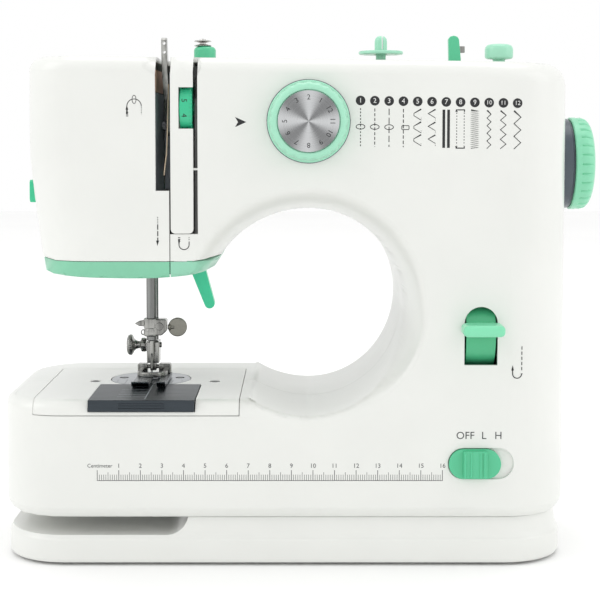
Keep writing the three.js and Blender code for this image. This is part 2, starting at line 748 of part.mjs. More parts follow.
function reverseLever() {
  const drum = new THREE.Shape();
  drum.absarc(REVERSE.y, REVERSE.z, REVERSE.r, Math.PI * 0.64, Math.PI * 1.36, false);
  drum.lineTo(REVERSE.y, REVERSE.z);
  const bar = box(76.2, 91.5, LEVER_FRONT, -1, 109.2, 114.5);
  const neck = box(77.2, 89.8, -2, 6, 109.4, 114.3);
  return union(prismX(drum, 76.9, 90), bar, neck, rodX(3, 74, 93, REVERSE.y, REVERSE.z, SMALL));
}

function speedSwitch() {
  return union(prismY(stadium(68.9, 93, 41.6, 55.5), -1.4, 1.2),
    box(76, 86, -4.2, -1, 43.2, 53.9));
}

function winderSpindle() {
  return turnZ([[1.9, 215], [1.9, 239.2], [10.7, 239.2], [10.7, 240.8], [3, 241], [3, 245.5],
    [1.8, 248.1]], WINDER.x, WINDER.y);
}

function winderLatch() {
  const { x, y, z } = LATCH;
  const finger = polygon([[x - 2.8, z - 3], [x + 2.8, z - 3], [x + 2.6, z + 8], [x + 1.6, z + 18],
    [x - 0.8, z + 19.2], [x - 3.4, z + 18]]);
  return prismY(finger, y - 2.4, y + 2.4);
}

function spoolPin() {
  return turnZ([[2.9, 183], [2.9, 236.8], [6.2, 238.4], [6.8, 240], [6.2, 242.6], [3.5, 244.3]],
    SPOOL.x, SPOOL.y, 20);
}

function guideBase() {
  return turnZ([[5.2, 236.5], [5.2, 240], [4, 242.4]], -45.2, 30, 20);
}

function guideDiscs() {
  return turnZ([[4.2, 242.8], [1.4, 243.6], [1.4, 244.2], [4.2, 245.1]], -46.2, 30, 20);
}

function threadCutter() {
  return cut(box(-128.7, -126.5, 26, 34, 168.5, 179.2), box(-129, -126, 29, 31, 176, 180));
}

function screwDown(head, shank, [x, y], top, reach) {
  return turnZ([[shank, top - reach], [shank, top - 1.5], [head, top - 1.5], [head, top]],
    x, y, SMALL);
}

function jack(outer, bore, [y, z]) {
  return cut(rodX(outer, 116, 126.2, y, z), rodX(bore, 118, 127, y, z, 16));
}

// ---- assembly --------------------------------------------------------------------------------

const machine = new THREE.Group();

function add(name, solid, look) {
  const { vertProperties, triVerts } = solid.getMesh();
  const geometry = new THREE.BufferGeometry();
  geometry.setAttribute('position', new THREE.BufferAttribute(vertProperties, 3));
  geometry.setIndex(new THREE.BufferAttribute(triVerts, 1));
  geometry.computeVertexNormals();
  const mesh = new THREE.Mesh(geometry, look);
  mesh.name = name;
  machine.add(mesh);
}

add('base_tray', baseTray(), white);
for (const [name, x, y] of [['front_left', -114, 20], ['front_right', 99, 20],
  ['rear_left', -114, 95], ['rear_right', 99, 95]]) {
  add(`foot_${name}`, rodZ(7, 0, 1, x, y, SMALL), rubber);
}
add('front_cover', frontCover(), white);
add('rear_cover', rearCover(), white);
add('face_cover', faceCover(), white);
add('face_strip', faceStrip(), white);
add('head_trim_left', headTrim(true), mint);
add('head_trim_right', headTrim(false), mint);
add('head_floor', headFloor(), white);
add('arm_floor', armFloor(), white);
add('bed_cover', bedCover(), white);
for (const side of ['left', 'right']) {
  add(`bed_screw_${side}`, screwDown(2.3, 1.3, BED_SCREWS[side], BED_TOP + 0.1, 8), steel);
  add(`plate_screw_${side}`, screwDown(2, 1.1, PLATE_SCREWS[side], BED_TOP + 0.1, 7), steel);
}

add('chassis', chassis(), castMetal);
add('main_shaft', mainShaft(), steel);
add('hand_wheel', handWheel(), mint);
add('wheel_hub', wheelHub(), darkGrey);
add('shaft_pulley', shaftPulley(), black);
add('lower_shaft', lowerShaft(), steel);
add('lower_pulley', lowerPulley(), black);
add('timing_belt', belt([LOWER_Y, LOWER_Z, 12], [MID, SHAFT_Z, 12], 102.6, 107.4), rubber);
add('motor', motor(), castMetal);
add('motor_pulley', motorPulley(), brass);
add('motor_belt', belt([MOTOR.y, MOTOR.z, 5], [MID, SHAFT_Z, 16], 111.4, 115.4), rubber);
add('hook', hook(), steel);
add('bobbin_case', bobbinCase(), black);
add('bobbin', bobbin(), lens);
add('feed_dog', feedDog(), steel);
add('needle_plate', needlePlate(), steel);
add('slide_plate', slidePlate(), blackMetal);

add('needle_bar', needleBar(), steel);
add('crank_link', crankLink(), steel);
add('needle_clamp', needleClamp(), steel);
add('clamp_screw', clampScrew(), steel);
add('needle', needle(), steel);
add('presser_bar', presserBar(), steel);
add('presser_spring', presserSpring(), steel);
add('foot_holder', footHolder(), steel);
add('foot_screw', footScrew(), steel);
add('presser_foot', presserFoot(), steel);
add('presser_lifter', presserLifter(), green);
add('take_up_lever', takeUpLever(), steel);

add('pattern_dial', dialRing(), mint);
add('dial_face', dialFace(), steel);
add('tension_dial', tensionDial(), green);
add('reverse_lever', reverseLever(), green);
add('speed_switch', speedSwitch(), green);
add('winder_spindle', winderSpindle(), mint);
add('winder_latch', winderLatch(), mint);
add('spool_pin', spoolPin(), mint);
add('guide_base', guideBase(), mint);
add('guide_discs', guideDiscs(), steel);
add('thread_cutter', threadCutter(), green);
add('power_jack', jack(4.5, 3.4, JACKS.power), black);
add('pedal_jack', jack(4, 1.8, JACKS.pedal), black);

machine.position.set(-CENTRE_X, -CENTRE_Y, 0);

export default machine;
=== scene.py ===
"""Looks of the free-arm sewing machine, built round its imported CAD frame.

Lengths in this script are millimetres in the machine's drawing frame: X runs right from the
middle of the body, Y back from the flat front face, Z up from the table. The function place()
turns them into metres in the row frame.
"""
import json
import math

import bmesh
import bpy
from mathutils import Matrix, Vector
from mathutils.geometry import delaunay_2d_cdt


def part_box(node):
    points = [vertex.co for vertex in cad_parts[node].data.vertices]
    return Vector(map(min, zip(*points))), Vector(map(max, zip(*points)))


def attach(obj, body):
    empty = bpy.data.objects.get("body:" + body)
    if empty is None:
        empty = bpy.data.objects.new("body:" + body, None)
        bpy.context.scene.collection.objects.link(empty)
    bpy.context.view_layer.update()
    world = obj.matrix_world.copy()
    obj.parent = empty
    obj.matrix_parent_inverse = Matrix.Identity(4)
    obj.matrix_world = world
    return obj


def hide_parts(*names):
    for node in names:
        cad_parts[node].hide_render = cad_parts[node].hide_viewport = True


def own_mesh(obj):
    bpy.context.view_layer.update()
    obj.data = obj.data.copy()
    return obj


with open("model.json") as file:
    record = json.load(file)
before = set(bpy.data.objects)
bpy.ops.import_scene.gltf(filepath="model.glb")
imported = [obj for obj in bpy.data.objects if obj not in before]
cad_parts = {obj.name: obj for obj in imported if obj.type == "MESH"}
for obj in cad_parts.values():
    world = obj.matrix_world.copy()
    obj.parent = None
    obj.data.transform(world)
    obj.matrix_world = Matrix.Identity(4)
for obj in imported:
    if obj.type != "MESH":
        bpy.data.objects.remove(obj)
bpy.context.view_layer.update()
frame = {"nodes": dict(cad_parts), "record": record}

# ---- frame and driving dimensions -----------------------------------------------------------

MM = 0.001
DEPTH = 115.0                 # front face to back face
MID = DEPTH / 2               # parting plane of the front and rear covers
LEFT, RIGHT = -141.0, 126.0   # free-arm end and hand wheel side of the body
HEAD_LEFT = -127.6            # the head's left side, above where it draws in
LOW = 23.0                    # lower edge of the covers
BED_TOP = 78.0
TRIM_TOP = 142.4
SEAM = -59.7                  # joint between the face cover and the front cover
PLAN_R = 30.0                 # plan corners of bed and pillar
HEAD_R = 25.0                 # plan corners of the head
BED_FILLET = 5.5              # the bed's upper edges
WALL = 2.3
GAP = 0.3                     # play between neighbouring parts
SEAM_GAP = 0.2                # what each cover stays back from SEAM
TUCK, TUCK_TOP = 2.6, 28.0    # the covers draw in by this much below this height
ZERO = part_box("front_cover")[0] - Vector((LEFT * MM, 0, LOW * MM))

THROAT_X, THROAT_Z = 4.4, 117.8
THROAT_RIGHT, THROAT_LEFT, THROAT_UP = 45.7, 50.0, 47.4
# The bed's flat top ends where it meets the throat's edge.
BED_END = THROAT_X - THROAT_LEFT * math.sqrt(1 - ((THROAT_Z - BED_TOP) / THROAT_UP) ** 2)

BODY_OF = {n: b for b, nodes in frame["record"]["behaviour"]["bodies"].items() for n in nodes}
SLOT_OF = {s["node"]: s["material_slot"] for s in frame["record"]["subparts"]}


def place(x, y, z):
    """A point of the drawing frame, as metres in the row frame."""
    return Vector((x * MM, y * MM, z * MM)) + ZERO


def box(node):
    """A CAD node's lowest and highest corner, in the drawing frame."""
    low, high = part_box(node)
    return (low - ZERO) / MM, (high - ZERO) / MM


def middle(node):
    low, high = box(node)
    return (low + high) / 2


def smooth(t):
    t = min(1.0, max(0.0, t))
    return t * t * (3 - 2 * t)


# ---- materials ------------------------------------------------------------------------------

class Nodes:
    """A small builder for one material's node tree."""

    def __init__(self, name):
        self.material = bpy.data.materials.new(name)
        self.material.use_nodes = True
        self.tree = self.material.node_tree
        self.shader = self.tree.nodes["Principled BSDF"]
        self.coords = self.tree.nodes.new("ShaderNodeTexCoord").outputs["Object"]

    def node(self, kind, **values):
        made = self.tree.nodes.new(kind)
        for key, value in values.items():
            if hasattr(made, key):
                setattr(made, key, value)
            else:
                made.inputs[key.replace("_", " ")].default_value = value
        return made

    def link(self, output, target):
        self.tree.links.new(output, target)

    def noise(self, scale, detail=3.0, stretch=(1, 1, 1)):
        mapping = self.node("ShaderNodeMapping")
        mapping.inputs["Scale"].default_value = stretch
        self.link(self.coords, mapping.inputs["Vector"])
        noise = self.node("ShaderNodeTexNoise", Scale=scale, Detail=detail)
        self.link(mapping.outputs["Vector"], noise.inputs["Vector"])
        return noise.outputs["Fac"]

    def paint(self, source, low, high, start=0.3, end=0.7):
        """Colours the surface from low to high as source goes from start to end."""
        ramp = self.node("ShaderNodeValToRGB")
        ramp.color_ramp.elements[0].position = start
        ramp.color_ramp.elements[1].position = end
        ramp.color_ramp.elements[0].color = (*low, 1)
        ramp.color_ramp.elements[1].color = (*high, 1)
        self.link(source, ramp.inputs["Fac"])
        self.link(ramp.outputs["Color"], self.shader.inputs["Base Color"])

    def roughen(self, source, low, high):
        spread = self.node("ShaderNodeMapRange", To_Min=low, To_Max=high)
        self.link(source, spread.inputs["Value"])
        self.link(spread.outputs["Result"], self.shader.inputs["Roughness"])

    def maths(self, kind, operation, source, second=None):
        """A maths node that takes source first, and second as a set value."""
        made = self.node(kind, operation=operation)
        self.link(source, made.inputs[0])
        if second is not None:
            made.inputs[1].default_value = second
        return made

    def bump(self, source, distance, strength):
        bump = self.node("ShaderNodeBump", Distance=distance, Strength=strength)
        self.link(source, bump.inputs["Height"])
        self.link(bump.outputs["Normal"], self.shader.inputs["Normal"])

    def set(self, **values):
        for key, value in values.items():
            self.shader.inputs[key.replace("_", " ")].default_value = value


def tinted(colour, factor):
    return tuple(c * factor for c in colour)


def moulded(name, colour, rough=0.3, grain=0.000012, coat=0.0):
    """Injection-moulded plastic: faint colour drift, uneven gloss and a fine orange peel."""
    n = Nodes(name)
    n.paint(n.noise(28.0, 4.0), tinted(colour, 0.97), colour)
    n.roughen(n.noise(160.0), rough - 0.05, rough + 0.06)
    n.bump(n.noise(900.0, 2.0), grain, 0.6)
    n.set(IOR=1.49, Coat_Weight=coat, Coat_Roughness=0.12)
    return n.material


def metal(name, colour, rough=0.2, stretch=(1, 1, 1), scale=700.0, grain=0.000008, dark=0.86):
    """Bare metal with polishing marks that run along the stretched axis, the darkest of them that part of
    the colour. Where that part is small, the deep marks are partly polish and partly painted reflection:
    dark streaks of the surroundings."""
    n = Nodes(name)
    marks = n.noise(scale, 5.0, stretch)
    n.paint(marks, tinted(colour, dark), colour)
    n.roughen(marks, rough - 0.05, rough + 0.12)
    n.bump(marks, grain, 0.5)
    n.set(Metallic=1.0)
    return n.material


def brushed_disc(name, colour, centre):
    """Spun aluminium: grooves in rings about the Y axis through centre, and light and dark sectors round
    the turn painted into its colour, a painted reflection of the kind such grooves show."""
    n = Nodes(name)
    shift = n.maths("ShaderNodeVectorMath", "SUBTRACT", n.coords, centre)
    flat = n.maths("ShaderNodeVectorMath", "MULTIPLY", shift.outputs[0], (1, 0, 1))
    length = n.maths("ShaderNodeVectorMath", "LENGTH", flat.outputs[0])
    rings = n.node("ShaderNodeTexNoise", noise_dimensions="1D", Scale=6500.0, Detail=4.0)
    n.link(length.outputs["Value"], rings.inputs["W"])
    # painted highlight and shade: four light and four dark sectors by angle round the disc
    upright = n.node("ShaderNodeMapping")
    upright.inputs["Rotation"].default_value = (math.pi / 2, 0, math.radians(20))
    n.link(shift.outputs[0], upright.inputs["Vector"])
    turn = n.node("ShaderNodeTexGradient", gradient_type="RADIAL")
    n.link(upright.outputs["Vector"], turn.inputs["Vector"])
    wave = n.maths("ShaderNodeMath", "MULTIPLY", turn.outputs["Fac"], 8 * math.pi)
    painted_sector_sheen = n.maths("ShaderNodeMath", "SINE", wave.outputs[0])
    rings_and_painted_sheen = n.maths("ShaderNodeMath", "MULTIPLY_ADD", painted_sector_sheen.outputs[0], 0.42)
    n.link(rings.outputs["Fac"], rings_and_painted_sheen.inputs[2])
    n.paint(rings_and_painted_sheen.outputs[0], tinted(colour, 0.36), colour, 0.15, 0.95)
    n.roughen(rings.outputs["Fac"], 0.22, 0.38)
    tangent = n.node("ShaderNodeTangent", direction_type="RADIAL", axis="Y")
    n.link(tangent.outputs["Tangent"], n.shader.inputs["Tangent"])
    n.bump(rings.outputs["Fac"], 0.000006, 0.5)
    n.set(Metallic=1.0, Anisotropic=0.85)
    return n.material


def ink(name, colour):
    """Pad-printed ink, thin and slightly uneven."""
    n = Nodes(name)
    n.paint(n.noise(1500.0, 3.0), colour, tinted(colour, 1.7))
    n.roughen(n.noise(800.0), 0.45, 0.6)
    return n.material


def rubber(name, colour):
    n = Nodes(name)
    n.paint(n.noise(400.0, 4.0), colour, tinted(colour, 1.5))
    n.roughen(n.noise(250.0), 0.7, 0.9)
    n.bump(n.noise(1200.0, 3.0), 0.00003, 0.7)
    return n.material


def clear(name, colour):
    n = Nodes(name)
    n.paint(n.noise(60.0), tinted(colour, 0.95), colour)
    n.roughen(n.noise(300.0), 0.04, 0.12)
    n.set(IOR=1.49, Transmission_Weight=0.9)
    return n.material


WHITE = moulded("body_white", (0.765, 0.773, 0.742), 0.3, 0.000008, 0.25)
MINT = moulded("mint_green", (0.205, 0.545, 0.36), 0.34, 0.00001, 0.1)
LIGHT_MINT = moulded("light_mint", (0.27, 0.60, 0.43), 0.34, 0.00001, 0.1)
WHEEL_MINT = moulded("wheel_mint", (0.23, 0.66, 0.42), 0.32, 0.00001, 0.15)
PALE_MINT = moulded("dial_mint", (0.34, 0.70, 0.51), 0.28, 0.000008, 0.2)
LEVER_GREEN = moulded("lever_green", (0.065, 0.44, 0.215), 0.34, 0.000008, 0.15)
# painted light: the lever's bar is a lighter copy of the lever's own green, as lit where it stands out
# above the drum
BAR_GREEN_PAINTED_LIGHT = moulded("lever_bar_green_painted_light", (0.21, 0.69, 0.42), 0.34, 0.000008, 0.15)
SWITCH_GREEN = moulded("switch_green", (0.085, 0.52, 0.28), 0.34, 0.000008, 0.15)
# painted light: the lifter's green is made much lighter than the other greens to cancel the shade under
# the head
LIFTER_GREEN_PAINTED_LIGHT = moulded("lifter_green_painted_light", (0.045, 0.84, 0.45), 0.3, 0.000008, 0.2)
WINDOW_GREEN = moulded("window_green", (0.028, 0.49, 0.25), 0.3, 0.000008, 0.2)
GREEN = moulded("deep_green", (0.035, 0.565, 0.285), 0.3, 0.000008, 0.2)
HUB_GREY = moulded("dark_grey", (0.06, 0.08, 0.10), 0.3, 0.00001, 0.2)
BLACK = moulded("black_plastic", (0.012, 0.012, 0.013), 0.5, 0.00003)
# painted shade for the gap between the face cover and the front cover
SEAM_SHADE = moulded("painted_seam_shade", (0.03, 0.032, 0.036), 0.6, 0.00003)
SLATE = moulded("slate_lining", (0.42, 0.45, 0.50), 0.45, 0.00002)
# painted shade for the slit beside the tension strip
SLIT_SHADE = moulded("painted_slit_shade", (0.10, 0.10, 0.098), 0.5, 0.00002)
COPPER = moulded("copper_lining", (0.62, 0.40, 0.29), 0.4, 0.00002)
THREAD = moulded("thread_cream", (0.62, 0.50, 0.36), 0.8, 0.00005)
RUBBER = rubber("rubber", (0.012, 0.012, 0.012))
CLEAR = clear("clear_plastic", (0.82, 0.86, 0.85))
INK = ink("print_black", (0.008, 0.009, 0.010))
INK_SOFT = ink("print_soft_black", (0.035, 0.038, 0.04))
INK_PALE = ink("print_pale", (0.22, 0.24, 0.26))
INK_WHITE = ink("print_white", (0.55, 0.55, 0.54))
# Polished steel and bar steel: colours kept dark and marks ramped deep, painted reflection of dark
# surroundings on top of the polish marks.
CHROME = metal("polished_steel", (0.45, 0.45, 0.43), 0.14, (1, 1, 0.05), 500.0, dark=0.42)
BAR_STEEL = metal("bar_steel", (0.27, 0.275, 0.27), 0.16, (1, 1, 0.03), 600.0, dark=0.35)
BOLT_STEEL = metal("bolt_steel", (0.20, 0.20, 0.205), 0.3, (1, 1, 1), 900.0)
BRIGHT = metal("bright_steel", (0.62, 0.61, 0.59), 0.2)
PLATE_METAL = metal("needle_plate_steel", (0.36, 0.38, 0.40), 0.26, (0.06, 1, 1), 800.0)
SATIN = metal("satin_steel", (0.29, 0.285, 0.25), 0.38, (1, 1, 1), 900.0)
SLIDE = metal("dark_plate", (0.058, 0.068, 0.078), 0.34, (0.08, 1, 1), 700.0)
CAST = metal("frame_metal", (0.40, 0.41, 0.43), 0.5, (1, 1, 1), 300.0, 0.00005)
DARK_STEEL = metal("dark_steel", (0.13, 0.145, 0.16), 0.22, (1, 0.1, 1), 800.0)
BRASS = metal("brass", (0.55, 0.38, 0.14), 0.28)

SLOT_LOOK = {
    "body_white": WHITE, "mint_green": MINT, "deep_green": GREEN, "dark_grey": HUB_GREY,
    "polished_steel": CHROME, "brushed_dial": CHROME, "dark_plate": SLIDE, "rubber": RUBBER,
    "frame_metal": CAST, "black_plastic": BLACK, "clear_plastic": CLEAR, "brass": BRASS,
}
for node_name, cad_object in frame["nodes"].items():
    cad_object.data.materials.clear()
    cad_object.data.materials.append(SLOT_LOOK[SLOT_OF[node_name]])


# ---- mesh tools -----------------------------------------------------------------------------

def mesh_object(name, points, faces):
    """An object from points in the drawing frame; doubled points are merged."""
    mesh = bpy.data.meshes.new(name)
    mesh.from_pydata([place(*p) for p in points], [], faces)
    bm = bmesh.new()
    bm.from_mesh(mesh)
    bmesh.ops.remove_doubles(bm, verts=bm.verts, dist=0.00001)
    bmesh.ops.dissolve_degenerate(bm, edges=bm.edges, dist=0.000002)
    bm.to_mesh(mesh)
    bm.free()
    made = bpy.data.objects.new(name, mesh)
    bpy.context.scene.collection.objects.link(made)
    return made


def closed_normals(made):
    """Points the faces of a closed mesh outwards."""
    bm = bmesh.new()
    bm.from_mesh(made.data)
    bmesh.ops.recalc_face_normals(bm, faces=bm.faces)
    bm.to_mesh(made.data)
    bm.free()
    return made


def bake(made):
    """Applies every modifier of an object."""
    graph = bpy.context.evaluated_depsgraph_get()
    mesh = bpy.data.meshes.new_from_object(made.evaluated_get(graph))
    made.modifiers.clear()
    made.data = mesh
    return made


def subtract(made, *cutters):
    for cutter in cutters:
        modifier = made.modifiers.new("cut", "BOOLEAN")
        modifier.operation = "DIFFERENCE"
        modifier.solver = "EXACT"
        modifier.object = cutter
    bake(made)
    for cutter in cutters:
        bpy.data.objects.remove(cutter)
    return made


def join(*parts, name=None):
    """Joins objects into the first, which may take a new name."""
    bm = bmesh.new()
    for part in parts:
        bm.from_mesh(part.data)
    bm.to_mesh(parts[0].data)
    bm.free()
    for part in parts[1:]:
        bpy.data.objects.remove(part)
    if name:
        parts[0].name = name
    return parts[0]


def rounded(made, width=0.35, segments=2, angle=40):
    """Rounds the sharp edges of an object by a bevel of that many millimetres."""
    bevel = made.modifiers.new("bevel", "BEVEL")
    bevel.width = width * MM
    bevel.segments = segments
    bevel.limit_method = "ANGLE"
    bevel.angle_limit = math.radians(angle)
    bevel.use_clamp_overlap = True
    return bake(made)


def finish(made, look, nodes=(), body=None, sharp=50, skin=False):
    """Shades a piece, gives it its material, and ties it to the frame. A skin is shaded from
    the body's own surface."""
    made.data.materials.clear()
    made.data.materials.append(look)
    made.data.shade_smooth()
    made.data.set_sharp_from_angle(angle=math.radians(sharp))
    if skin:
        body_normals(made.data)
    else:
        weighted = made.modifiers.new("weighted", "WEIGHTED_NORMAL")
        weighted.keep_sharp = True
    if nodes:
        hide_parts(*nodes)
    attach(made, body or BODY_OF[nodes[0]])
    return made


AXES = {
    "x": lambda a, b, h: (h, a, b),
    "y": lambda a, b, h: (a, h, b),
    "z": lambda a, b, h: (a, b, h),
}


def lathe(name, axis, centre, profile, sides=64, radius=None):
    """A solid turned about an axis. Profile points are (radius, place along the axis), and
    radius(angle, r, h), where given, changes the radius round the turn."""
    turn = AXES[axis]
    rings = []
    for r, h in profile:
        ring = []
        for k in range(sides):
            angle = 2 * math.pi * k / sides
            reach = radius(angle, r, h) if radius else r
            ring.append(turn(centre[0] + reach * math.cos(angle),
                             centre[1] + reach * math.sin(angle), h))
        rings.append(ring)
    return stack(name, rings)


def stack(name, rings):
    """A closed solid skinned over rings that all have the same number of points."""
    count = len(rings[0])
    points = [p for ring in rings for p in ring]
    faces = []
    for row in range(len(rings) - 1):
        for k in range(count):
            a, b = row * count + k, row * count + (k + 1) % count
            faces.append((a, b, b + count, a + count))
    faces.append(tuple(range(count))[::-1])
    faces.append(tuple(range(len(points) - count, len(points))))
    return closed_normals(mesh_object(name, points, faces))


def arc(x, y, r, start, end, steps=8):
    """Points on an arc, from one angle to another in degrees."""
    turns = [math.radians(start + (end - start) * i / steps) for i in range(steps + 1)]
    return [(x + r * math.cos(t), y + r * math.sin(t)) for t in turns]


def stadium(x0, x1, y0, y1, steps=12):
    r = (y1 - y0) / 2
    return arc(x1 - r, y0 + r, r, -90, 90, steps) + arc(x0 + r, y0 + r, r, 90, 270, steps)


def plan(x0, x1, y0, y1, left_r, right_r, steps=14):
    """A rounded rectangle with its own corner radius at each end."""
    return (arc(x1 - right_r, y0 + right_r, right_r, -90, 0, steps)
            + arc(x1 - right_r, y1 - right_r, right_r, 0, 90, steps)
            + arc(x0 + left_r, y1 - left_r, left_r, 90, 180, steps)
            + arc(x0 + left_r, y0 + left_r, left_r, 180, 270, steps))


def rectangle(x0, x1, y0, y1, r=0.0):
    if r == 0:
        return [(x0, y0), (x1, y0), (x1, y1), (x0, y1)]
    return plan(x0, x1, y0, y1, r, r, 4)


def circle(x, y, r, steps):
    return arc(x, y, r, 0, 360 * (steps - 1) / steps, steps - 1)


def prism(name, axis, outline, low, high, holes=()):
    """A flat outline with holes, given thickness along an axis."""
    turn = AXES[axis]
    flat, faces = triangulated(outline, holes)
    count = len(flat)
    points = [turn(a, b, low) for a, b in flat] + [turn(a, b, high) for a, b in flat]
    border = open_edges(faces)
    solid = [tuple(f) for f in faces] + [tuple(i + count for i in f[::-1]) for f in faces]
    solid += [(b, a, a + count, b + count) for a, b in border]
    return closed_normals(mesh_object(name, points, solid))


def bore(axis, centre, r, span, sides=32):
    """A round cutter between two places along an axis."""
    low, high = span
    return lathe("bore", axis, centre, [(r, low), (r, high)], sides)


def opening(axis, outline, span):
    """A cutter of any outline between two places along an axis."""
    return prism("opening", axis, outline, *span)


def triangulated(outline, holes=(), extra=()):
    """Fills an outline with holes; extra points are taken in."""
    points, edges = [], []
    for loop in [outline, *holes]:
        first = len(points)
        points += loop
        edges += [(first + i, first + (i + 1) % len(loop)) for i in range(len(loop))]
    points += extra
    flat, _, faces, _, _, _ = delaunay_2d_cdt([Vector(p) for p in points], edges, [], 0, 1e-5)
    keep = []
    for face in faces:
        x = sum(flat[i][0] for i in face) / len(face)
        y = sum(flat[i][1] for i in face) / len(face)
        if inside(x, y, outline) and not any(inside(x, y, hole) for hole in holes):
            keep.append(list(face))
    return [(p[0], p[1]) for p in flat], keep


def inside(x, y, loop):
    found = False
    for i, (x0, y0) in enumerate(loop):
        x1, y1 = loop[i - 1]
        if (y0 > y) != (y1 > y) and x < (x1 - x0) * (y - y0) / (y1 - y0) + x0:
            found = not found
    return found


def open_edges(faces):
    """Directed edges that only one face has."""
    seen = {}
    for face in faces:
        for i, a in enumerate(face):
            seen[(a, face[(i + 1) % len(face)])] = True
    return [(a, b) for a, b in seen if (b, a) not in seen]


def tube(name, path, r, sides):
    """A round wire along a path of points."""
    rings = []
    spots = [Vector(p) for p in path]
    for i, spot in enumerate(spots):
        along = (spots[min(i + 1, len(spots) - 1)] - spots[max(i - 1, 0)]).normalized()
        side = along.orthogonal().normalized() if i == 0 else (side - along * side.dot(along))
        side.normalize()
        up = along.cross(side)
        turns = [2 * math.pi * k / sides for k in range(sides)]
        rings.append([tuple(spot + side * r * math.cos(t) + up * r * math.sin(t))
                      for t in turns])
    return stack(name, rings)


def block(name, x0, x1, y0, y1, z0, z1, bevel, segments=3):
    """A block with rounded edges."""
    made = prism(name, "z", rectangle(x0, x1, y0, y1), z0, z1)
    return rounded(made, bevel, segments) if bevel else made


# ---- the body's surface ---------------------------------------------------------------------

def top(x):
    return 235.5 - 0.0126 * x


def top_fillet(x):
    """Radius of the arm's long upper edge, wider at the hand wheel end."""
    return 7.0 + 3.0 * smooth((x - 70) / 42)


def head_left(z):
    """The head's left side, which draws in towards the bottom."""
    return HEAD_LEFT + 6.9 * (max(0.0, 192 - z) / 57.4) ** 1.2


def head_low(x):
    """The head's lower edge, a shallow curve."""
    reach = x + 75
    return 134.6 + (0.00086 if reach < 0 else 0.0024) * reach * reach


def fillet(t, r):
    """How far a rounded edge of radius r draws in, at a distance t below it."""
    t = min(max(t, 0.0), r)
    return r - math.sqrt(max(0.0, r * r - (r - t) ** 2))


def tuck(z):
    """How far the covers draw in at a height near their lower edge."""
    return TUCK * ((TUCK_TOP - z) / (TUCK_TOP - LOW)) ** 1.6


def edge_inset(x, z):
    """How far the body's outline is drawn in by its top, bed and lower edges."""
    inset = fillet(top(x) - z, top_fillet(x))
    if z < 100 and x < BED_END:
        inset = max(inset, fillet(BED_TOP - z, BED_FILLET))
    if z < TUCK_TOP:
        inset = max(inset, tuck(z))
    if z > 100 and x < -36:
        inset = max(inset, fillet(z - head_low(x), 1.4))
    return inset


def corner(r, inset, reach):
    """How far back the surface of a plan corner lies, reach past where the corner starts."""
    return r - math.sqrt(max(0.0, (r - inset) ** 2 - max(0.0, reach) ** 2))


def side(z):
    """The left side's place and plan radius at a height."""
    return (LEFT, PLAN_R) if z < 100 else (head_left(z), HEAD_R)


def throat_at(angle, grow):
    reach = THROAT_LEFT if math.cos(angle) < 0 else THROAT_RIGHT
    return (THROAT_X + (reach + grow) * math.cos(angle),
            THROAT_Z + (THROAT_UP + grow) * math.sin(angle))


def throat_grow(x, z):
    """How far a point lies outside the throat's edge, and its angle round the throat."""
    dx, dz = x - THROAT_X, z - THROAT_Z
    reach = THROAT_LEFT if dx < 0 else THROAT_RIGHT
    low, high = -1.0, 60.0
    for _ in range(26):
        grow = (low + high) / 2
        if (dx / (reach + grow)) ** 2 + (dz / (THROAT_UP + grow)) ** 2 > 1:
            low = grow
        else:
            high = grow
    return grow, math.atan2(dz / (THROAT_UP + grow), dx / (reach + grow))


class Flare:
    """The mouth of the throat on the front: a deep rounded funnel inside a shallow dish."""
    dish = 1.5

    @staticmethod
    def share(angle):
        return (1 + math.sin(angle)) / 2

    def width(self, angle):
        return 2.5 + 9.5 * self.share(angle) ** 0.7

    def depth(self, angle):
        return 3.0 + 37.0 * smooth(self.share(angle) / 0.45)

    def outer(self, angle):
        return self.width(angle) + 4 + 8 * smooth((self.share(angle) - 0.02) / 0.3)

    def crisp(self, angle):
        """How clearly the funnel's rim shows: sharp at the lower right, soft above."""
        return smooth((0.62 - self.share(angle)) / 0.25) * smooth((math.cos(angle) + 0.3) / 0.5)

    def at(self, grow, angle):
        width, outer = self.width(angle), self.outer(angle)
        if grow >= outer:
            return 0.0
        dish = self.dish * smooth(self.share(angle) / 0.12)
        if grow >= width:
            return dish * (1 - (grow - width) / (outer - width)) ** 1.6
        t = 1 - max(grow, 0.0) / width
        round_part = 1 - math.sqrt(max(0.0, 1 - t * t))
        crisp = 0.35 * self.crisp(angle)
        return dish + (self.depth(angle) - dish) * ((1 - crisp) * round_part + crisp * t)


class Lip:
    """The plain rounded edge of the throat on the back."""
    radius = 2.2

    def width(self, angle):
        return self.radius

    outer = width

    def at(self, grow, angle):
        return fillet(grow, self.radius)


FRONT_MOUTH, REAR_MOUTH = Flare(), Lip()


def face_depth(x, z, mouth):
    """How far the body's surface lies behind its flat face at a point of the front view."""
    inset = edge_inset(x, z)
    left, r = side(z)
    if x < left + r:
        depth = corner(r, inset, left + r - x)
    elif x > RIGHT - PLAN_R:
        depth = corner(PLAN_R, inset, x - (RIGHT - PLAN_R))
    else:
        depth = inset
    grow, angle = throat_grow(x, z)
    beside = z > BED_TOP - 8 and (x > BED_END - 14 or z > 100)
    if beside or x > BED_END - 4:
        depth += mouth.at(grow, angle)
    return depth


def outward(x, y, z):
    """Direction out of the body at a point of its surface."""
    rear = y > MID
    mouth = REAR_MOUTH if rear else FRONT_MOUTH
    step = 0.01
    lean_x = face_depth(x + step, z, mouth) - face_depth(x - step, z, mouth)
    lean_z = face_depth(x, z + step, mouth) - face_depth(x, z - step, mouth)
    behind = (DEPTH - y if rear else y) - face_depth(x, z, mouth)
    level = 0.0 if behind > 0.6 else 2 * step
    return Vector((lean_x, level if rear else -level, lean_z)).normalized()


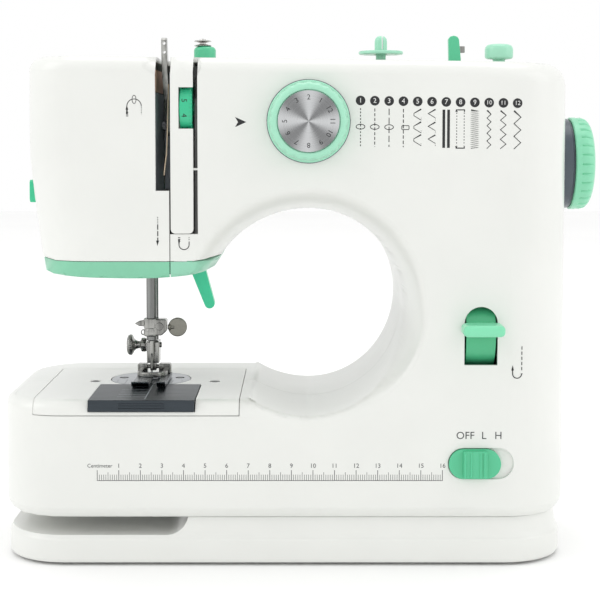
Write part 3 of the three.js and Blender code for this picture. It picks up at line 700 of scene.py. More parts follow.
def body_normals(mesh):
    """Shades the outside of a shell from the body's surface instead of from its triangles."""
    directions = [outward(*((v.co - ZERO) / MM)) for v in mesh.vertices]
    normals = []
    for polygon in mesh.polygons:
        for index in polygon.vertices:
            fits = directions[index].dot(polygon.normal) > 0.5
            normals.append(directions[index] if fits else Vector((0, 0, 0)))
    mesh.normals_split_custom_set(normals)


# ---- outlines of the body in the front view -------------------------------------------------
# Each chain is a list of points; a silhouette chain is where the surface turns into the sides.

ROWS = list(range(36, 224, 9))              # heights shared by outlines and sample points
TUCK_ROWS = [24, 25, 26.5]
COLUMNS = list(range(-108, 95, 9))          # and places along X
THROAT_STEPS = 88
PLAN_STEPS = [math.sin(math.radians(a)) for a in range(0, 90, 9)]


def left_angle(z):
    """Where round the throat its left edge reaches a height."""
    return math.pi - math.asin((z - THROAT_Z) / THROAT_UP)


def throat_chain(z_from, z_to):
    """Along the throat's edge, clockwise over the top, between two heights at its left."""
    start, end = left_angle(z_from), left_angle(z_to) - 2 * math.pi
    return [throat_at(start + (end - start) * i / THROAT_STEPS, 0)
            for i in range(THROAT_STEPS + 1)]


def right_chain():
    """Up the right side and round its upper corner."""
    points = [(RIGHT - tuck(z), z) for z in (LOW, *TUCK_ROWS)]
    points += [(RIGHT, z) for z in (TUCK_TOP, *ROWS)]
    r = top_fillet(RIGHT)
    for i in range(9):
        turn = math.radians(90 * i / 8)
        x = RIGHT - r + r * math.cos(turn)
        points.append((x, top(RIGHT - r) - r + r * math.sin(turn)))
    return points


def top_chain(x_from, x_to):
    """Along the top from right to left."""
    bends = COLUMNS + [RIGHT - PLAN_R + PLAN_R * step for step in PLAN_STEPS]
    bends += [HEAD_LEFT + HEAD_R * (1 - step) for step in PLAN_STEPS]
    between = sorted({x for x in bends if x_to + 0.5 < x < x_from - 0.5}, reverse=True)
    return [(x, top(x)) for x in (x_from, *between, x_to)]


def head_corner_chain(z_end):
    """Round the head's upper left corner and down its left side."""
    r = top_fillet(HEAD_LEFT)
    level = top(HEAD_LEFT + r) - r
    points = [(HEAD_LEFT + r - r * math.sin(math.radians(10 * i)),
               level + r * math.cos(math.radians(10 * i))) for i in range(10)]
    between = [z for z in reversed(ROWS) if z_end + 0.5 < z < level - 0.5]
    return points + [(head_left(z), z) for z in (*between, z_end)]


def bed_corner_chain():
    """Round the bed's upper left corner and down to the lower edge."""
    r = BED_FILLET
    points = [(LEFT + r - r * math.sin(math.radians(11.25 * i)),
               BED_TOP - r + r * math.cos(math.radians(11.25 * i))) for i in range(9)]
    below = [z for z in reversed(ROWS) if z < BED_TOP - r - 0.4]
    points += [(LEFT, z) for z in (*below, TUCK_TOP)]
    points += [(LEFT + tuck(z), z) for z in (*reversed(TUCK_ROWS), LOW)]
    return points


def line(x0, z0, x1, z1, step=9.0):
    count = max(1, round(math.hypot(x1 - x0, z1 - z0) / step))
    return [(x0 + (x1 - x0) * i / count, z0 + (z1 - z0) * i / count)
            for i in range(count + 1)]


def loop_of(chains):
    """Joins chains into one loop; gives its points and those that lie on a silhouette."""
    points, rim = [], set()
    for chain, silhouette in chains:
        for p in chain:
            spot = (round(p[0], 4), round(p[1], 4))
            if not points or math.dist(spot, points[-1]) > 0.02:
                points.append(spot)
            if silhouette:
                rim.add(points[-1])
    if math.dist(points[0], points[-1]) < 0.02:
        points.pop()
    return points, rim


# ---- shells built on that surface -----------------------------------------------------------

RIM_MARGIN = 0.12              # how near a silhouette a sample point may lie
CUT_MARGIN = 0.45              # how near a cut edge, which gets a bevel


def clear_of(x, z, loops, rim):
    """Whether a point keeps its margin from every edge of the loops."""
    for loop in loops:
        for i, (x1, z1) in enumerate(loop):
            x0, z0 = loop[i - 1]
            dx, dz = x1 - x0, z1 - z0
            t = max(0.0, min(1.0, ((x - x0) * dx + (z - z0) * dz) / (dx * dx + dz * dz)))
            margin = RIM_MARGIN if (x0, z0) in rim and (x1, z1) in rim else CUT_MARGIN
            if (x - x0 - t * dx) ** 2 + (z - z0 - t * dz) ** 2 < margin * margin:
                return False
    return True


def surface_points(mouth):
    """Sample points of the front view, close together where the surface curves."""
    points = []
    levels = [(z, None) for z in (*TUCK_ROWS, TUCK_TOP, *ROWS)]
    levels += [(None, 1 - math.cos(math.radians(a))) for a in range(15, 91, 15)]
    bed_levels = [BED_TOP - BED_FILLET * (1 - math.cos(math.radians(a))) for a in range(15, 91, 15)]
    for level, share in levels + [(z, None) for z in bed_levels]:
        spots = []
        probe = level if level is not None else 230.0
        left, r = side(probe)
        for part in PLAN_STEPS:
            spots += [(left + r, -1, r, part), (RIGHT - PLAN_R, 1, PLAN_R, part)]
        for x, sign, radius, part in spots:
            edge = x + sign * radius * part
            z = level if level is not None else top(edge) - top_fillet(edge) * share
            inset = edge_inset(edge, z)
            points.append((x + sign * (radius - inset) * part, z))
        if level in bed_levels:
            points += [(x, level) for x in range(-108, -24, 12)]
        else:
            for x in COLUMNS:
                z = level if level is not None else top(x) - top_fillet(x) * share
                points.append((x, z))
    points = [p for p in points if throat_grow(*p)[0] > mouth.outer(throat_grow(*p)[1]) + 1.5]
    for i in range(THROAT_STEPS):
        angle = 2 * math.pi * i / THROAT_STEPS
        width, outer = mouth.width(angle), mouth.outer(angle)
        grows = [width * (1 - math.sin(math.radians(p))) for p in range(0, 90, 9)]
        if outer > width:
            grows += [width + (outer - width) * share for share in (0.15, 0.35, 0.6, 0.8, 1.0)]
        points += [throat_at(angle, grow) for grow in grows if grow > 0.12]
    for x in range(-118, -40, 9):
        points += [(x, head_low(x) + t) for t in (0.1, 0.4, 0.9, 1.4)]
    return points


POINTS = {"front": surface_points(FRONT_MOUTH), "rear": surface_points(REAR_MOUTH)}


def sheet(chains, holes=(), rear=False, offset=0.0):
    """One half of a shell's outer face, as points and faces, and its silhouette edges."""
    mouth = REAR_MOUTH if rear else FRONT_MOUTH
    outline, rim = loop_of(chains)
    extra = [p for p in POINTS["rear" if rear else "front"]
             if inside(*p, outline) and not any(inside(*p, h) for h in holes)
             and clear_of(*p, [outline, *holes], rim)]
    flat, faces = triangulated(outline, holes, extra)
    points = []
    for x, z in flat:
        y = face_depth(x, z, mouth) + offset
        points.append((x, DEPTH - y if rear else y, z))
    faces = [f if (signed_area(flat, f) > 0) != rear else f[::-1] for f in faces]
    edges = open_edges(faces)
    on_rim = {i: any(math.dist(flat[i], spot) < 0.01 for spot in rim) for i, _ in edges}
    return points, faces, [(a, b) for a, b in edges if on_rim[a] and on_rim[b]]


def signed_area(flat, face):
    total = 0.0
    for i, a in enumerate(face):
        b = face[(i + 1) % len(face)]
        total += flat[a][0] * flat[b][1] - flat[b][0] * flat[a][1]
    return total


def skirt(points, faces, edges, reach):
    """Carries silhouette edges along Y to the depth that reach(x, z) gives, if any."""
    for a, b in edges:
        mid_x, mid_z = (points[a][0] + points[b][0]) / 2, (points[a][2] + points[b][2]) / 2
        end = reach(mid_x, mid_z)
        if end is None:
            continue
        first = len(points)
        points.append((points[a][0], end, points[a][2]))
        points.append((points[b][0], end, points[b][2]))
        faces.append([b, a, first, first + 1])


def shell(name, parts, bevel=0.3, segments=2):
    """A closed shell with soft edges from outer sheets, given as (points, faces)."""
    points, faces = [], []
    for sheet_points, sheet_faces in parts:
        first = len(points)
        points += sheet_points
        faces += [tuple(i + first for i in f) for f in sheet_faces]
    made = mesh_object(name, points, faces)
    solid = made.modifiers.new("wall", "SOLIDIFY")
    solid.thickness = WALL * MM
    solid.offset = -1
    solid.use_even_offset = False
    return rounded(bake(made), bevel, segments, 55)


# ---- covers ---------------------------------------------------------------------------------

BED_PANEL_LOW, BED_PANEL_HIGH = box("bed_cover")
POCKET_LEFT, POCKET_RIGHT = BED_PANEL_LOW.x - GAP, BED_PANEL_HIGH.x + GAP
POCKET_LOW, POCKET_BACK = BED_PANEL_LOW.z - GAP, BED_PANEL_HIGH.y + GAP
STRIP_LOW, STRIP_HIGH = box("face_strip")
SLOT_LEFT, SLOT_LOW, SLOT_BACK = -66.1, 175.0, 46.0
STRIP_SLOT = STRIP_HIGH.x + 2
HALF_GAP = 0.15
REAR_SCREWS = [(-105, 46), (100, 46), (104, 215), (-40, 215)]

LEVER_ARCH = (75.8, 91.1, 94.5, 121.6)
SWITCH_SLOT = (68.4, 99.2, 41.2, 55.9)
LATCH_SLOT = (66.8, 79.8, 37, 43)

# Spans that a cutter takes to pass right through a wall.
ARM_TOP_SPAN = (225, 245)
BACK_SPAN = (110, DEPTH + 3)
SIDE_SPAN = (118, RIGHT + 4)
BED_SPAN = (70, 80)
HEAD_FLOOR_SPAN = (140, 150)


def arch(x0, x1, z0, z1):
    r = (x1 - x0) / 2
    return [(x0, z0), (x1, z0)] + arc(x0 + r, z1 - r, r, 0, 180, 16)


def lower_edge():
    return line(LEFT + TUCK, LOW, RIGHT - TUCK, LOW, 8)


def front_cover():
    seam, low = SEAM + SEAM_GAP, TRIM_TOP + GAP
    slot_floor = STRIP_LOW.z - GAP
    chains = [
        (lower_edge(), False),
        (right_chain(), True),
        (top_chain(RIGHT - top_fillet(RIGHT), STRIP_SLOT), True),
        (line(STRIP_SLOT, top(STRIP_SLOT), STRIP_SLOT, slot_floor), False),
        (line(STRIP_SLOT, slot_floor, seam, slot_floor), False),
        (line(seam, slot_floor, seam, low), False),
        (line(seam, low, throat_at(left_angle(low), 0)[0], low), False),
        (throat_chain(low, BED_TOP), True),
        (line(BED_END, BED_TOP, POCKET_RIGHT, BED_TOP, 2), True),
        (line(POCKET_RIGHT, BED_TOP, POCKET_RIGHT, POCKET_LOW, 1), False),
        (line(POCKET_RIGHT, POCKET_LOW, POCKET_LEFT, POCKET_LOW), False),
        (line(POCKET_LEFT, POCKET_LOW, POCKET_LEFT, BED_TOP, 1), False),
        (line(POCKET_LEFT, BED_TOP, LEFT + BED_FILLET, BED_TOP, 3), True),
        (bed_corner_chain(), True),
    ]
    holes = [arch(*LEVER_ARCH), stadium(*SWITCH_SLOT)]
    points, faces, edges = sheet(chains, holes)
    skirt(points, faces, edges, lambda x, z: MID - HALF_GAP)
    made = shell("front_cover_shell", [(points, faces), top_behind_strip(seam)])
    subtract(made,
             bore("z", middle("winder_spindle").xy, 3.4, ARM_TOP_SPAN, 64),
             bore("z", middle("spool_pin").xy, 3.5, ARM_TOP_SPAN, 64),
             opening("z", rectangle(*LATCH_SLOT), ARM_TOP_SPAN))
    return finish(made, WHITE, ["front_cover"], skin=True)


def top_behind_strip(seam):
    """The cover's top where the narrow strip takes its front edge."""
    spots = [(x, top(x)) for x in (STRIP_SLOT, (STRIP_SLOT + seam) / 2, seam)]
    points = [(x, y, z) for x, z in spots
              for y in (face_depth(x, z, FRONT_MOUTH), MID - HALF_GAP)]
    return points, [(2, 0, 1, 3), (4, 2, 3, 5)]


def rear_cover():
    seam, low = SEAM + SEAM_GAP, TRIM_TOP + GAP
    chains = [
        (lower_edge(), False),
        (right_chain(), True),
        (top_chain(RIGHT - top_fillet(RIGHT), seam), True),
        (line(seam, top(seam), seam, low), False),
        (line(seam, low, throat_at(left_angle(low), 0)[0], low), False),
        (throat_chain(low, BED_TOP), True),
        (line(BED_END, BED_TOP, POCKET_RIGHT, BED_TOP, 2), True),
        (line(POCKET_RIGHT, BED_TOP, POCKET_LEFT, BED_TOP), True),
        (line(POCKET_LEFT, BED_TOP, LEFT + BED_FILLET, BED_TOP, 3), True),
        (bed_corner_chain(), True),
    ]
    points, faces, edges = sheet(chains, rear=True)

    def reach(x, z):
        on_bed = z > BED_TOP - 0.01 and z < 100 and POCKET_LEFT < x < POCKET_RIGHT
        return POCKET_BACK if on_bed else MID + HALF_GAP

    skirt(points, faces, edges, reach)
    made = shell("rear_cover_shell", [(points, faces)])
    holes = [bore("y", spot, 3.1, BACK_SPAN) for spot in REAR_SCREWS]
    for node in ("power_jack", "pedal_jack"):
        low, high = box(node)
        r = (high.z - low.z) / 2 + GAP
        holes.append(bore("x", middle(node).yz, r, SIDE_SPAN, 40))
    subtract(made, *holes)
    return finish(made, WHITE, ["rear_cover"], skin=True)


def face_cover():
    seam, low = SEAM - SEAM_GAP, TRIM_TOP + GAP
    corner_x = HEAD_LEFT + top_fillet(HEAD_LEFT)
    front = [
        (line(head_left(low), low, seam, low), False),
        (line(seam, low, seam, SLOT_LOW), False),
        (line(seam, SLOT_LOW, SLOT_LEFT, SLOT_LOW), False),
        (line(SLOT_LEFT, SLOT_LOW, SLOT_LEFT, top(SLOT_LEFT)), False),
        (top_chain(SLOT_LEFT, corner_x), True),
        (head_corner_chain(low), True),
    ]
    rear = [
        (line(head_left(low), low, seam, low), False),
        (line(seam, low, seam, top(seam)), False),
        (top_chain(seam, SLOT_LEFT), True),
        (top_chain(SLOT_LEFT, corner_x), True),
        (head_corner_chain(low), True),
    ]

    def reach(x, z):
        return SLOT_BACK if x > SLOT_LEFT and z > SLOT_LOW else MID

    parts = []
    for chains, is_rear in ((front, False), (rear, True)):
        points, faces, edges = sheet(chains, rear=is_rear)
        skirt(points, faces, edges, reach)
        parts.append((points, faces))
    return finish(shell("face_cover_shell", parts), WHITE, ["face_cover"], skin=True)


def head_trim(left):
    """The green band round the bottom of the head, open below."""
    name = "head_trim_left" if left else "head_trim_right"
    if left:
        seam = SEAM - SEAM_GAP
        start = head_left(head_low(-120.7))
        bottom = [(x, head_low(x)) for x, _ in line(start, 0, seam, 0, 6)]
        chains = [
            (bottom, False),
            (line(seam, head_low(seam), seam, TRIM_TOP, 2), False),
            (line(seam, TRIM_TOP, head_left(TRIM_TOP), TRIM_TOP), False),
            ([(head_left(z), z) for z in (TRIM_TOP, 140, 138, head_low(start))], True),
        ]
    else:
        seam = SEAM + SEAM_GAP
        meet = -41.3
        bottom = [(x, head_low(x)) for x, _ in line(seam, 0, meet, 0, 4)]
        first, last = left_angle(head_low(meet)), left_angle(TRIM_TOP)
        bend = [throat_at(first + (last - first) * i / 5, 0) for i in range(6)]
        chains = [
            (bottom, False),
            (bend, True),
            (line(bend[-1][0], TRIM_TOP, seam, TRIM_TOP), False),
            (line(seam, TRIM_TOP, seam, head_low(seam), 2), False),
        ]
    parts = []
    for is_rear in (False, True):
        points, faces, edges = sheet(chains, rear=is_rear)
        skirt(points, faces, edges, lambda x, z: MID)
        parts.append((points, faces))
    return finish(shell(name + "_band", parts), MINT if left else LIGHT_MINT, [name])


# ---- tray, feet and panels ------------------------------------------------------------------

def base_tray():
    low, high = box("base_tray")

    def ring(inset, z):
        r = PLAN_R - inset
        outline = plan(low.x + inset, high.x - inset, low.y + inset, high.y - inset, r, r)
        return [(x, y, z) for x, y in outline]

    made = stack("base_tray_shell", [ring(*step) for step in (
        (1.6, low.z), (0.5, 1.6), (0.1, 2.3), (0, 3.2), (0, 11.6), (0.3, 12.4), (1.1, 13.2),
        (1.7, 16), (2.8, high.z))])
    wall, deck = 3.2, 12.1
    inner_r = PLAN_R - wall
    hollow = prism("hollow", "z", plan(low.x + wall, high.x - wall, low.y + wall, high.y - wall,
                                       inner_r, inner_r), 3.5, deck)
    right = prism("right_hollow", "z", plan(-48, high.x - wall, low.y + wall, high.y - wall,
                                            2, inner_r), deck - 0.5, 40)
    sleeve = prism("sleeve", "y", stadium(-180, -52, 14.3, 35, 24), -5, 120)
    subtract(made, hollow, right, sleeve)
    return finish(rounded(made, 0.45, 3), WHITE, ["base_tray"])


def foot(name):
    low, high = box(name)
    centre, r = middle(name).xy, (high.x - low.x) / 2
    profile = [(2.4, low.z + 0.4), (2.8, low.z), (r - 0.5, low.z), (r, low.z + 0.35), (r, high.z)]
    return finish(lathe(name + "_pad", "z", centre, profile, 48), RUBBER, [name])


def face_strip():
    low, high = STRIP_LOW, STRIP_HIGH
    window_left, window_low, window_high = -55.4, 203.4, 222.2
    r = 2.0
    chains = [
        (arc(low.x + r, low.z + r, r, 180, 270, 5), False),
        (arc(high.x - r, low.z + r, r, 270, 360, 5), False),
        (line(high.x, low.z + r, high.x, window_low), False),
        (line(high.x, window_low, window_left, window_low), False),
        (line(window_left, window_low, window_left, window_high), False),
        (line(window_left, window_high, high.x, window_high), False),
        (line(high.x, window_high, high.x, top(high.x)), False),
        (top_chain(high.x, low.x), True),
        (line(low.x, top(low.x), low.x, low.z + r), False),
    ]
    points, faces, _ = sheet(chains, offset=-0.4)
    made = shell("face_strip_shell", [(points, faces)], 0.5, 3)
    return finish(made, WHITE, ["face_strip"])


def bed_cover():
    """The flat panel on the arm, whose front lip follows the body's rounded corner."""
    low, high = box("bed_cover")
    inner = BED_TOP - WALL

    def section(x):
        reach = LEFT + PLAN_R - x
        front = [(corner(PLAN_R, 0, reach), low.z), (corner(PLAN_R, 0, reach), BED_TOP - BED_FILLET)]
        for turn in range(15, 91, 15):
            inset = BED_FILLET * (1 - math.cos(math.radians(turn)))
            rise = BED_FILLET * math.sin(math.radians(turn))
            front.append((corner(PLAN_R, inset, reach), BED_TOP - BED_FILLET + rise))
        back = front[0][0] + WALL
        under = [(high.y, BED_TOP), (high.y, inner), (back + 4, inner), (back, inner - 3),
                 (back, low.z)]
        return [(x, y, z) for y, z in front + under]

    columns = [low.x + i * (LEFT + PLAN_R - low.x) / 8 for i in range(9)] + [-80.0, high.x]
    made = stack("bed_panel", [section(x) for x in columns])
    plate_low, plate_high = box("needle_plate")
    r = (plate_high.x - plate_low.x) / 2
    slide_low, slide_high = box("slide_plate")
    centre = ((plate_low.x + plate_high.x) / 2, plate_high.y - r)
    recess = rectangle(slide_low.x - GAP, slide_high.x + GAP, -6, slide_high.y + 0.4)
    cutters = [bore("z", centre, r + GAP, BED_SPAN, 96),
               opening("z", recess, (slide_low.z - GAP, 85))]
    for name in ("bed_screw_left", "bed_screw_right"):
        cutters.append(bore("z", middle(name).xy, 2.6, BED_SPAN))
    subtract(made, *cutters)
    return finish(rounded(made, 0.3, 2, 35), WHITE, ["bed_cover"])


def floor_panels():
    low, high = box("arm_floor")
    outline = plan(low.x, high.x, low.y, high.y, PLAN_R - WALL - GAP, 6)
    vents = [stadium(x, x + 26, y, y + 3) for y in (40, 52) for x in (-110, -78)]
    made = prism("arm_floor_panel", "z", outline, low.z, high.z, vents)
    finish(rounded(made, 0.25), WHITE, ["arm_floor"])
    low, high = box("head_floor")
    outline = plan(low.x, high.x, low.y, high.y, 18, 8)
    bars, lifter, thread = (-84, -58, 46, 72), (-66, -40, 70, 88), (-66.5, -55, -5, 30)
    made = prism("head_floor_panel", "z", outline, low.z, high.z)
    subtract(made, *(opening("z", rectangle(*spots), HEAD_FLOOR_SPAN)
                     for spots in (bars, lifter, thread)))
    finish(rounded(made, 0.2), WHITE, ["head_floor"])


def screw(name, axis, centre, head, top_at, nodes=(), body=None, cross=False):
    """A domed screw head on its shank, with a slot or a cross in it."""
    shank, half = head * 0.55, 0.32
    made = lathe(name, axis, centre, [(shank * 0.8, top_at - 7), (shank, top_at - 6.4),
                                      (shank, top_at - 1.5), (head, top_at - 1.5),
                                      (head, top_at - 0.45), (head * 0.72, top_at - 0.06),
                                      (head * 0.3, top_at)], 48)
    a, b = centre
    reach = head * (0.7 if cross else 1.2)
    slots = [rectangle(a - reach, a + reach, b - half, b + half)]
    if cross:
        slots.append(rectangle(a - half, a + half, b - reach, b + reach))
    subtract(made, *(opening(axis, slot, (top_at - 0.8, top_at + 2)) for slot in slots))
    return finish(made, BOLT_STEEL, nodes, body)


def screws():
    for name in ("bed_screw_left", "bed_screw_right", "plate_screw_left", "plate_screw_right"):
        low, high = box(name)
        screw(name + "_head", "z", middle(name).xy, (high.x - low.x) / 2, high.z, [name])
    for i, spot in enumerate(REAR_SCREWS):
        screw(f"rear_screw_{i + 1}", "y", spot, 2.5, DEPTH - 1.2, body="root", cross=True)


# ---- needle plate, slide plate, feed dog and hook -------------------------------------------

FEED_SLOTS = [(-81.5, -78.9), (-69.5, -66.9)]


def needle_plate():
    low, high = box("needle_plate")
    r = (high.x - low.x) / 2
    x, y = (low.x + high.x) / 2, high.y - r
    made = lathe("needle_plate_disc", "z", (x, y), [(r - 0.4, low.z), (r, low.z + 0.3),
                                                    (r, high.z - 0.3), (r - 0.3, high.z)], 128)
    cutters = [opening("z", rectangle(x - 30, x + 30, y - 40, low.y), BED_SPAN),
               opening("z", stadium(-78, -70.4, 54.6, 57.4, 8), BED_SPAN)]
    for x0, x1 in FEED_SLOTS:
        cutters.append(opening("z", rectangle(x0, x1, 46, 66, 0.6), BED_SPAN))
    for name in ("plate_screw_left", "plate_screw_right"):
        cutters.append(bore("z", middle(name).xy, 2.3, BED_SPAN))
    for mark in (-91, -86.5, -63.5, -59):
        guide_line = rectangle(mark - 0.12, mark + 0.12, 43.5, 56)
        cutters.append(opening("z", guide_line, (high.z - 0.18, high.z + 1)))
    subtract(made, *cutters)
    return finish(made, PLATE_METAL, ["needle_plate"])


def slide_plate():
    low, high = box("slide_plate")
    under = high.z - 1.8
    profile = [(low.y, low.z), (low.y + 2, low.z), (low.y + 2, under), (high.y, under),
               (high.y, high.z), (low.y, high.z)]
    made = rounded(prism("slide_plate_sheet", "x", profile, low.x, high.x), 0.35, 3)
    finish(made, SLIDE, ["slide_plate"])
    marks = [rectangle(-85.5, -72.5, y - 0.22, y + 0.22) for y in (8, 14, 20, 26)]
    marks.append(rectangle(-72.2, -71.8, 2, 40))
    lines = [prism("mark", "z", m, high.z - 0.1, high.z + 0.03) for m in marks]
    lines = join(*lines, name="slide_guide_lines")
    finish(lines, INK_PALE, body="bobbin_slide")
    ridges = [block("ridge", low.x + 14, high.x - 14, low.y - 0.35, low.y + 0.3, z, z + 0.55, 0.15, 2)
              for z in (74.1, 75.3, 76.5)]
    ridges = join(*ridges, name="slide_finger_ridges")
    finish(ridges, SLIDE, body="bobbin_slide")


def feed_dog():
    low, high = box("feed_dog")
    parts = [prism("feed_plate", "z", rectangle(low.x, low.x + 17.6, 46.5, 67), 70.6, 75.6,
                   [rectangle(-78.4, -70, 52, 60)])]
    first, teeth, pitch, root = 49, 10, 1.4, high.z - 0.7
    for x0, x1 in FEED_SLOTS:
        saw = [(first, 75)]
        for tooth in range(teeth):
            y = first + tooth * pitch
            saw += [(y + 0.1, root), (y + pitch * 0.8, high.z)]
        saw += [(63.1, root), (63.1, 75)]
        parts.append(prism("feed_bar", "x", saw, x0 + 0.5, x1 - 0.5))
    return finish(join(*parts), CHROME, ["feed_dog"], sharp=30)


def hook_cup():
    at = middle("bobbin_case").xy
    hook = lathe("hook_cup", "z", at, [(7.6, 52), (11.6, 56), (11.6, 57), (4, 57), (4, 57.3),
                                       (16.6, 57.3), (17, 57.7), (17, 68.6), (16.6, 69),
                                       (15, 69), (14.6, 68.6), (14.6, 59), (0.3, 59)], 96)
    subtract(hook, opening("z", rectangle(at.x + 6, at.x + 20, at.y - 20, at.y - 4, 3), (62, 75)))
    finish(rounded(hook, 0.15, 2), CHROME, ["hook"])


def bobbin_case():
    at = middle("bobbin_case").xy
    case = lathe("bobbin_case_cup", "z", at, [(13.9, 59.4), (14.2, 59.7), (14.2, 69.7),
                                              (13.9, 70), (11.5, 70), (11.2, 69.7),
                                              (11.2, 60.6), (0.3, 60.6)], 96)
    subtract(case, opening("z", rectangle(at.x - 17, at.x - 7, at.y - 3, at.y + 3, 1), (66, 75)))
    finish(rounded(case, 0.15, 2), BLACK, ["bobbin_case"])


def bobbin():
    """The clear spool with holes in its upper flange, and the thread wound on it."""
    at = middle("bobbin_case").xy
    spool = lathe("bobbin_spool_body", "z", at, [(10.1, 61), (10.4, 61.2), (10.4, 61.8),
                                                 (10.1, 62), (4, 62), (4, 68.6), (10.1, 68.6),
                                                 (10.4, 68.8), (10.4, 69.4), (10.1, 69.6)], 64)
    holes = [bore("z", at, 3, (60, 71))]
    for turn in range(0, 360, 60):
        spot = (at.x + 7 * math.cos(math.radians(turn)), at.y + 7 * math.sin(math.radians(turn)))
        holes.append(bore("z", spot, 1, (68, 71), 16))
    subtract(spool, *holes)
    finish(spool, CLEAR, ["bobbin"])
    wound = lathe("bobbin_thread", "z", at, [(4.1, 62.1), (8, 62.1), (8.4, 63), (8.2, 65.3),
                                             (8.4, 67.6), (8, 68.5), (4.1, 68.5)], 64)
    finish(wound, THREAD, body="bobbin_spool")


# ---- needle bar, presser bar and take-up ----------------------------------------------------

def needle_bar():
    low, high = box("needle_bar")
    at, r = middle("needle_bar").xy, (high.x - low.x) / 2
    bar = lathe("needle_bar_rod", "z", at, [(r - 0.4, low.z), (r, low.z + 0.4),
                                            (r, high.z - 0.4), (r - 0.4, high.z)], 48)
    finish(bar, BAR_STEEL, ["needle_bar"])


def needle_clamp():
    """The clamp's sleeve and jaw, its thread guide, a wire eyelet and a bolt."""
    low, high = box("needle_clamp")
    at = middle("needle_bar").xy
    sleeve = lathe("clamp_sleeve", "z", at, [(3.5, low.z), (4, low.z + 0.5), (4, low.z + 3),
                                             (3.7, low.z + 3.3), (3.7, low.z + 4), (4, low.z + 4.3),
                                             (4, high.z - 0.5), (3.5, high.z)], 48)
    jaw = prism("clamp_jaw", "y", [(at.x, 100.8), (high.x - 2.6, 100.8), (high.x, 103.2),
                                   (high.x, 108.2), (high.x - 0.8, 109), (at.x, 109)],
                at.y - 3.4, at.y + 3.4)
    guide = prism("clamp_guide", "y", [(-77, 108.4), (-77, 105), (-80.4, 105.3), (-82.6, 106.5),
                                       (-80.2, 107.9)], at.y - 1, at.y + 1)
    loop = [(at.x - 3.8 - 1.3 * math.sin(math.radians(a)), at.y - 1.0,
             102.2 + 1.3 * math.cos(math.radians(a))) for a in range(0, 181, 20)]
    wire = tube("clamp_eyelet", loop, 0.28, 10)
    cap = lathe("clamp_bolt", "y", (high.x - 3.6, 105.4), [(1.7, at.y - 4.2), (1.9, at.y - 4),
                                                           (1.9, at.y - 3.2)], 32)
    parts = [sleeve, rounded(jaw, 0.7, 3), rounded(guide, 0.35, 2), wire, cap]
    finish(join(*parts), CHROME, ["needle_clamp"])


def clamp_screw():
    low, high = box("clamp_screw")
    r, level = (high.z - low.z) / 2, (low.z + high.z) / 2
    paddle = lathe("clamp_screw_paddle", "y", (high.x - r, level),
                   [(r - 0.9, low.y + 0.15), (r - 0.6, low.y), (r - 0.2, low.y + 0.1),
                    (r, low.y + 0.4), (r, high.y - 0.4), (r - 0.3, high.y)], 72)
    shank = lathe("clamp_screw_shank", "x", (middle("needle_bar").y, level),
                  [(1.2, low.x), (1.2, low.x + 0.3), (1.9, low.x + 0.5), (1.9, low.x + 1.3),
                   (1.3, low.x + 1.6), (1.3, low.x + 3.2)], 32)
    finish(join(paddle, shank), SATIN, ["clamp_screw"])


def needle():
    low, high = box("needle")
    at = middle("needle_bar").xy
    finish(lathe("needle_steel", "z", at, [(0.12, low.z), (0.3, low.z + 1), (0.45, low.z + 2.6),
                                           (0.5, low.z + 3.4), (0.5, 90), (0.85, 91.2),
                                           (0.9, 91.6), (0.9, high.z)], 20), CHROME, ["needle"])
    eye = lathe("needle_eye", "y", (at.x, low.z + 4), [(0.22, at.y - 0.52), (0.22, at.y + 0.52)], 12)
    finish(eye, INK, body="needle_carriage")


PRESSER = (-74.2, middle("foot_holder").y)     # the bar's place, seen from above
BOLT = (PRESSER[1], 94.3)                      # the foot holder's screw, seen from the side


def presser_bar():
    low, high = box("presser_bar")
    bar = lathe("presser_bar_rod", "z", PRESSER, [(2.1, low.z), (2.5, low.z + 0.4), (2.5, 158),
                                                  (3.4, 158), (3.7, 158.3), (3.7, 160.7),
                                                  (3.4, 161), (2.5, 161), (2.5, high.z - 0.4),
                                                  (2.1, high.z)], 48)
    finish(bar, BAR_STEEL, ["presser_bar"])


def foot_holder():
    low, high = box("foot_holder")
    body = block("holder_block", low.x, high.x, low.y, high.y, 85.6, high.z, 0.8, 3)
    subtract(body, opening("y", rectangle(-75.3, -73.1, 87.5, 100), (low.y - 1, low.y + 0.8)))
    tongue = block("holder_tongue", -75.8, -72.6, 62.6, 68, low.z, 86.2, 0.5, 2)
    bolt = lathe("holder_bolt", "x", BOLT, [(1.4, high.x - 0.2), (1.4, high.x + 0.7),
                                            (1.0, high.x + 1.0)], 24)
    finish(join(body, tongue, bolt), CHROME, ["foot_holder"])


def foot_screw():
    """The knurled thumb screw through the holder."""
    def knurl(angle, r, h):
        return r - 0.14 * (0.5 + 0.5 * math.cos(36 * angle)) if r > 4.9 else r

    head = lathe("foot_screw_head", "x", BOLT,
                 [(1.2, -87.9), (3.6, -87.6), (4.7, -87.1), (5.2, -86.3), (5.2, -85.3),
                  (4.7, -84.8), (3.2, -84.1), (2.3, -83.1), (1.9, -82), (1.9, -81.1),
                  (2.8, -80.6), (3.5, -80.3), (3.6, -79.4), (3.6, -78.5), (3.1, -77.8)], 216, knurl)
    y, z = BOLT
    slot = rectangle(y - 6, y + 6, z - 0.35, z + 0.35)
    subtract(head, opening("x", slot, (-90, -87.1)))
    finish(head, CHROME, ["foot_screw"])


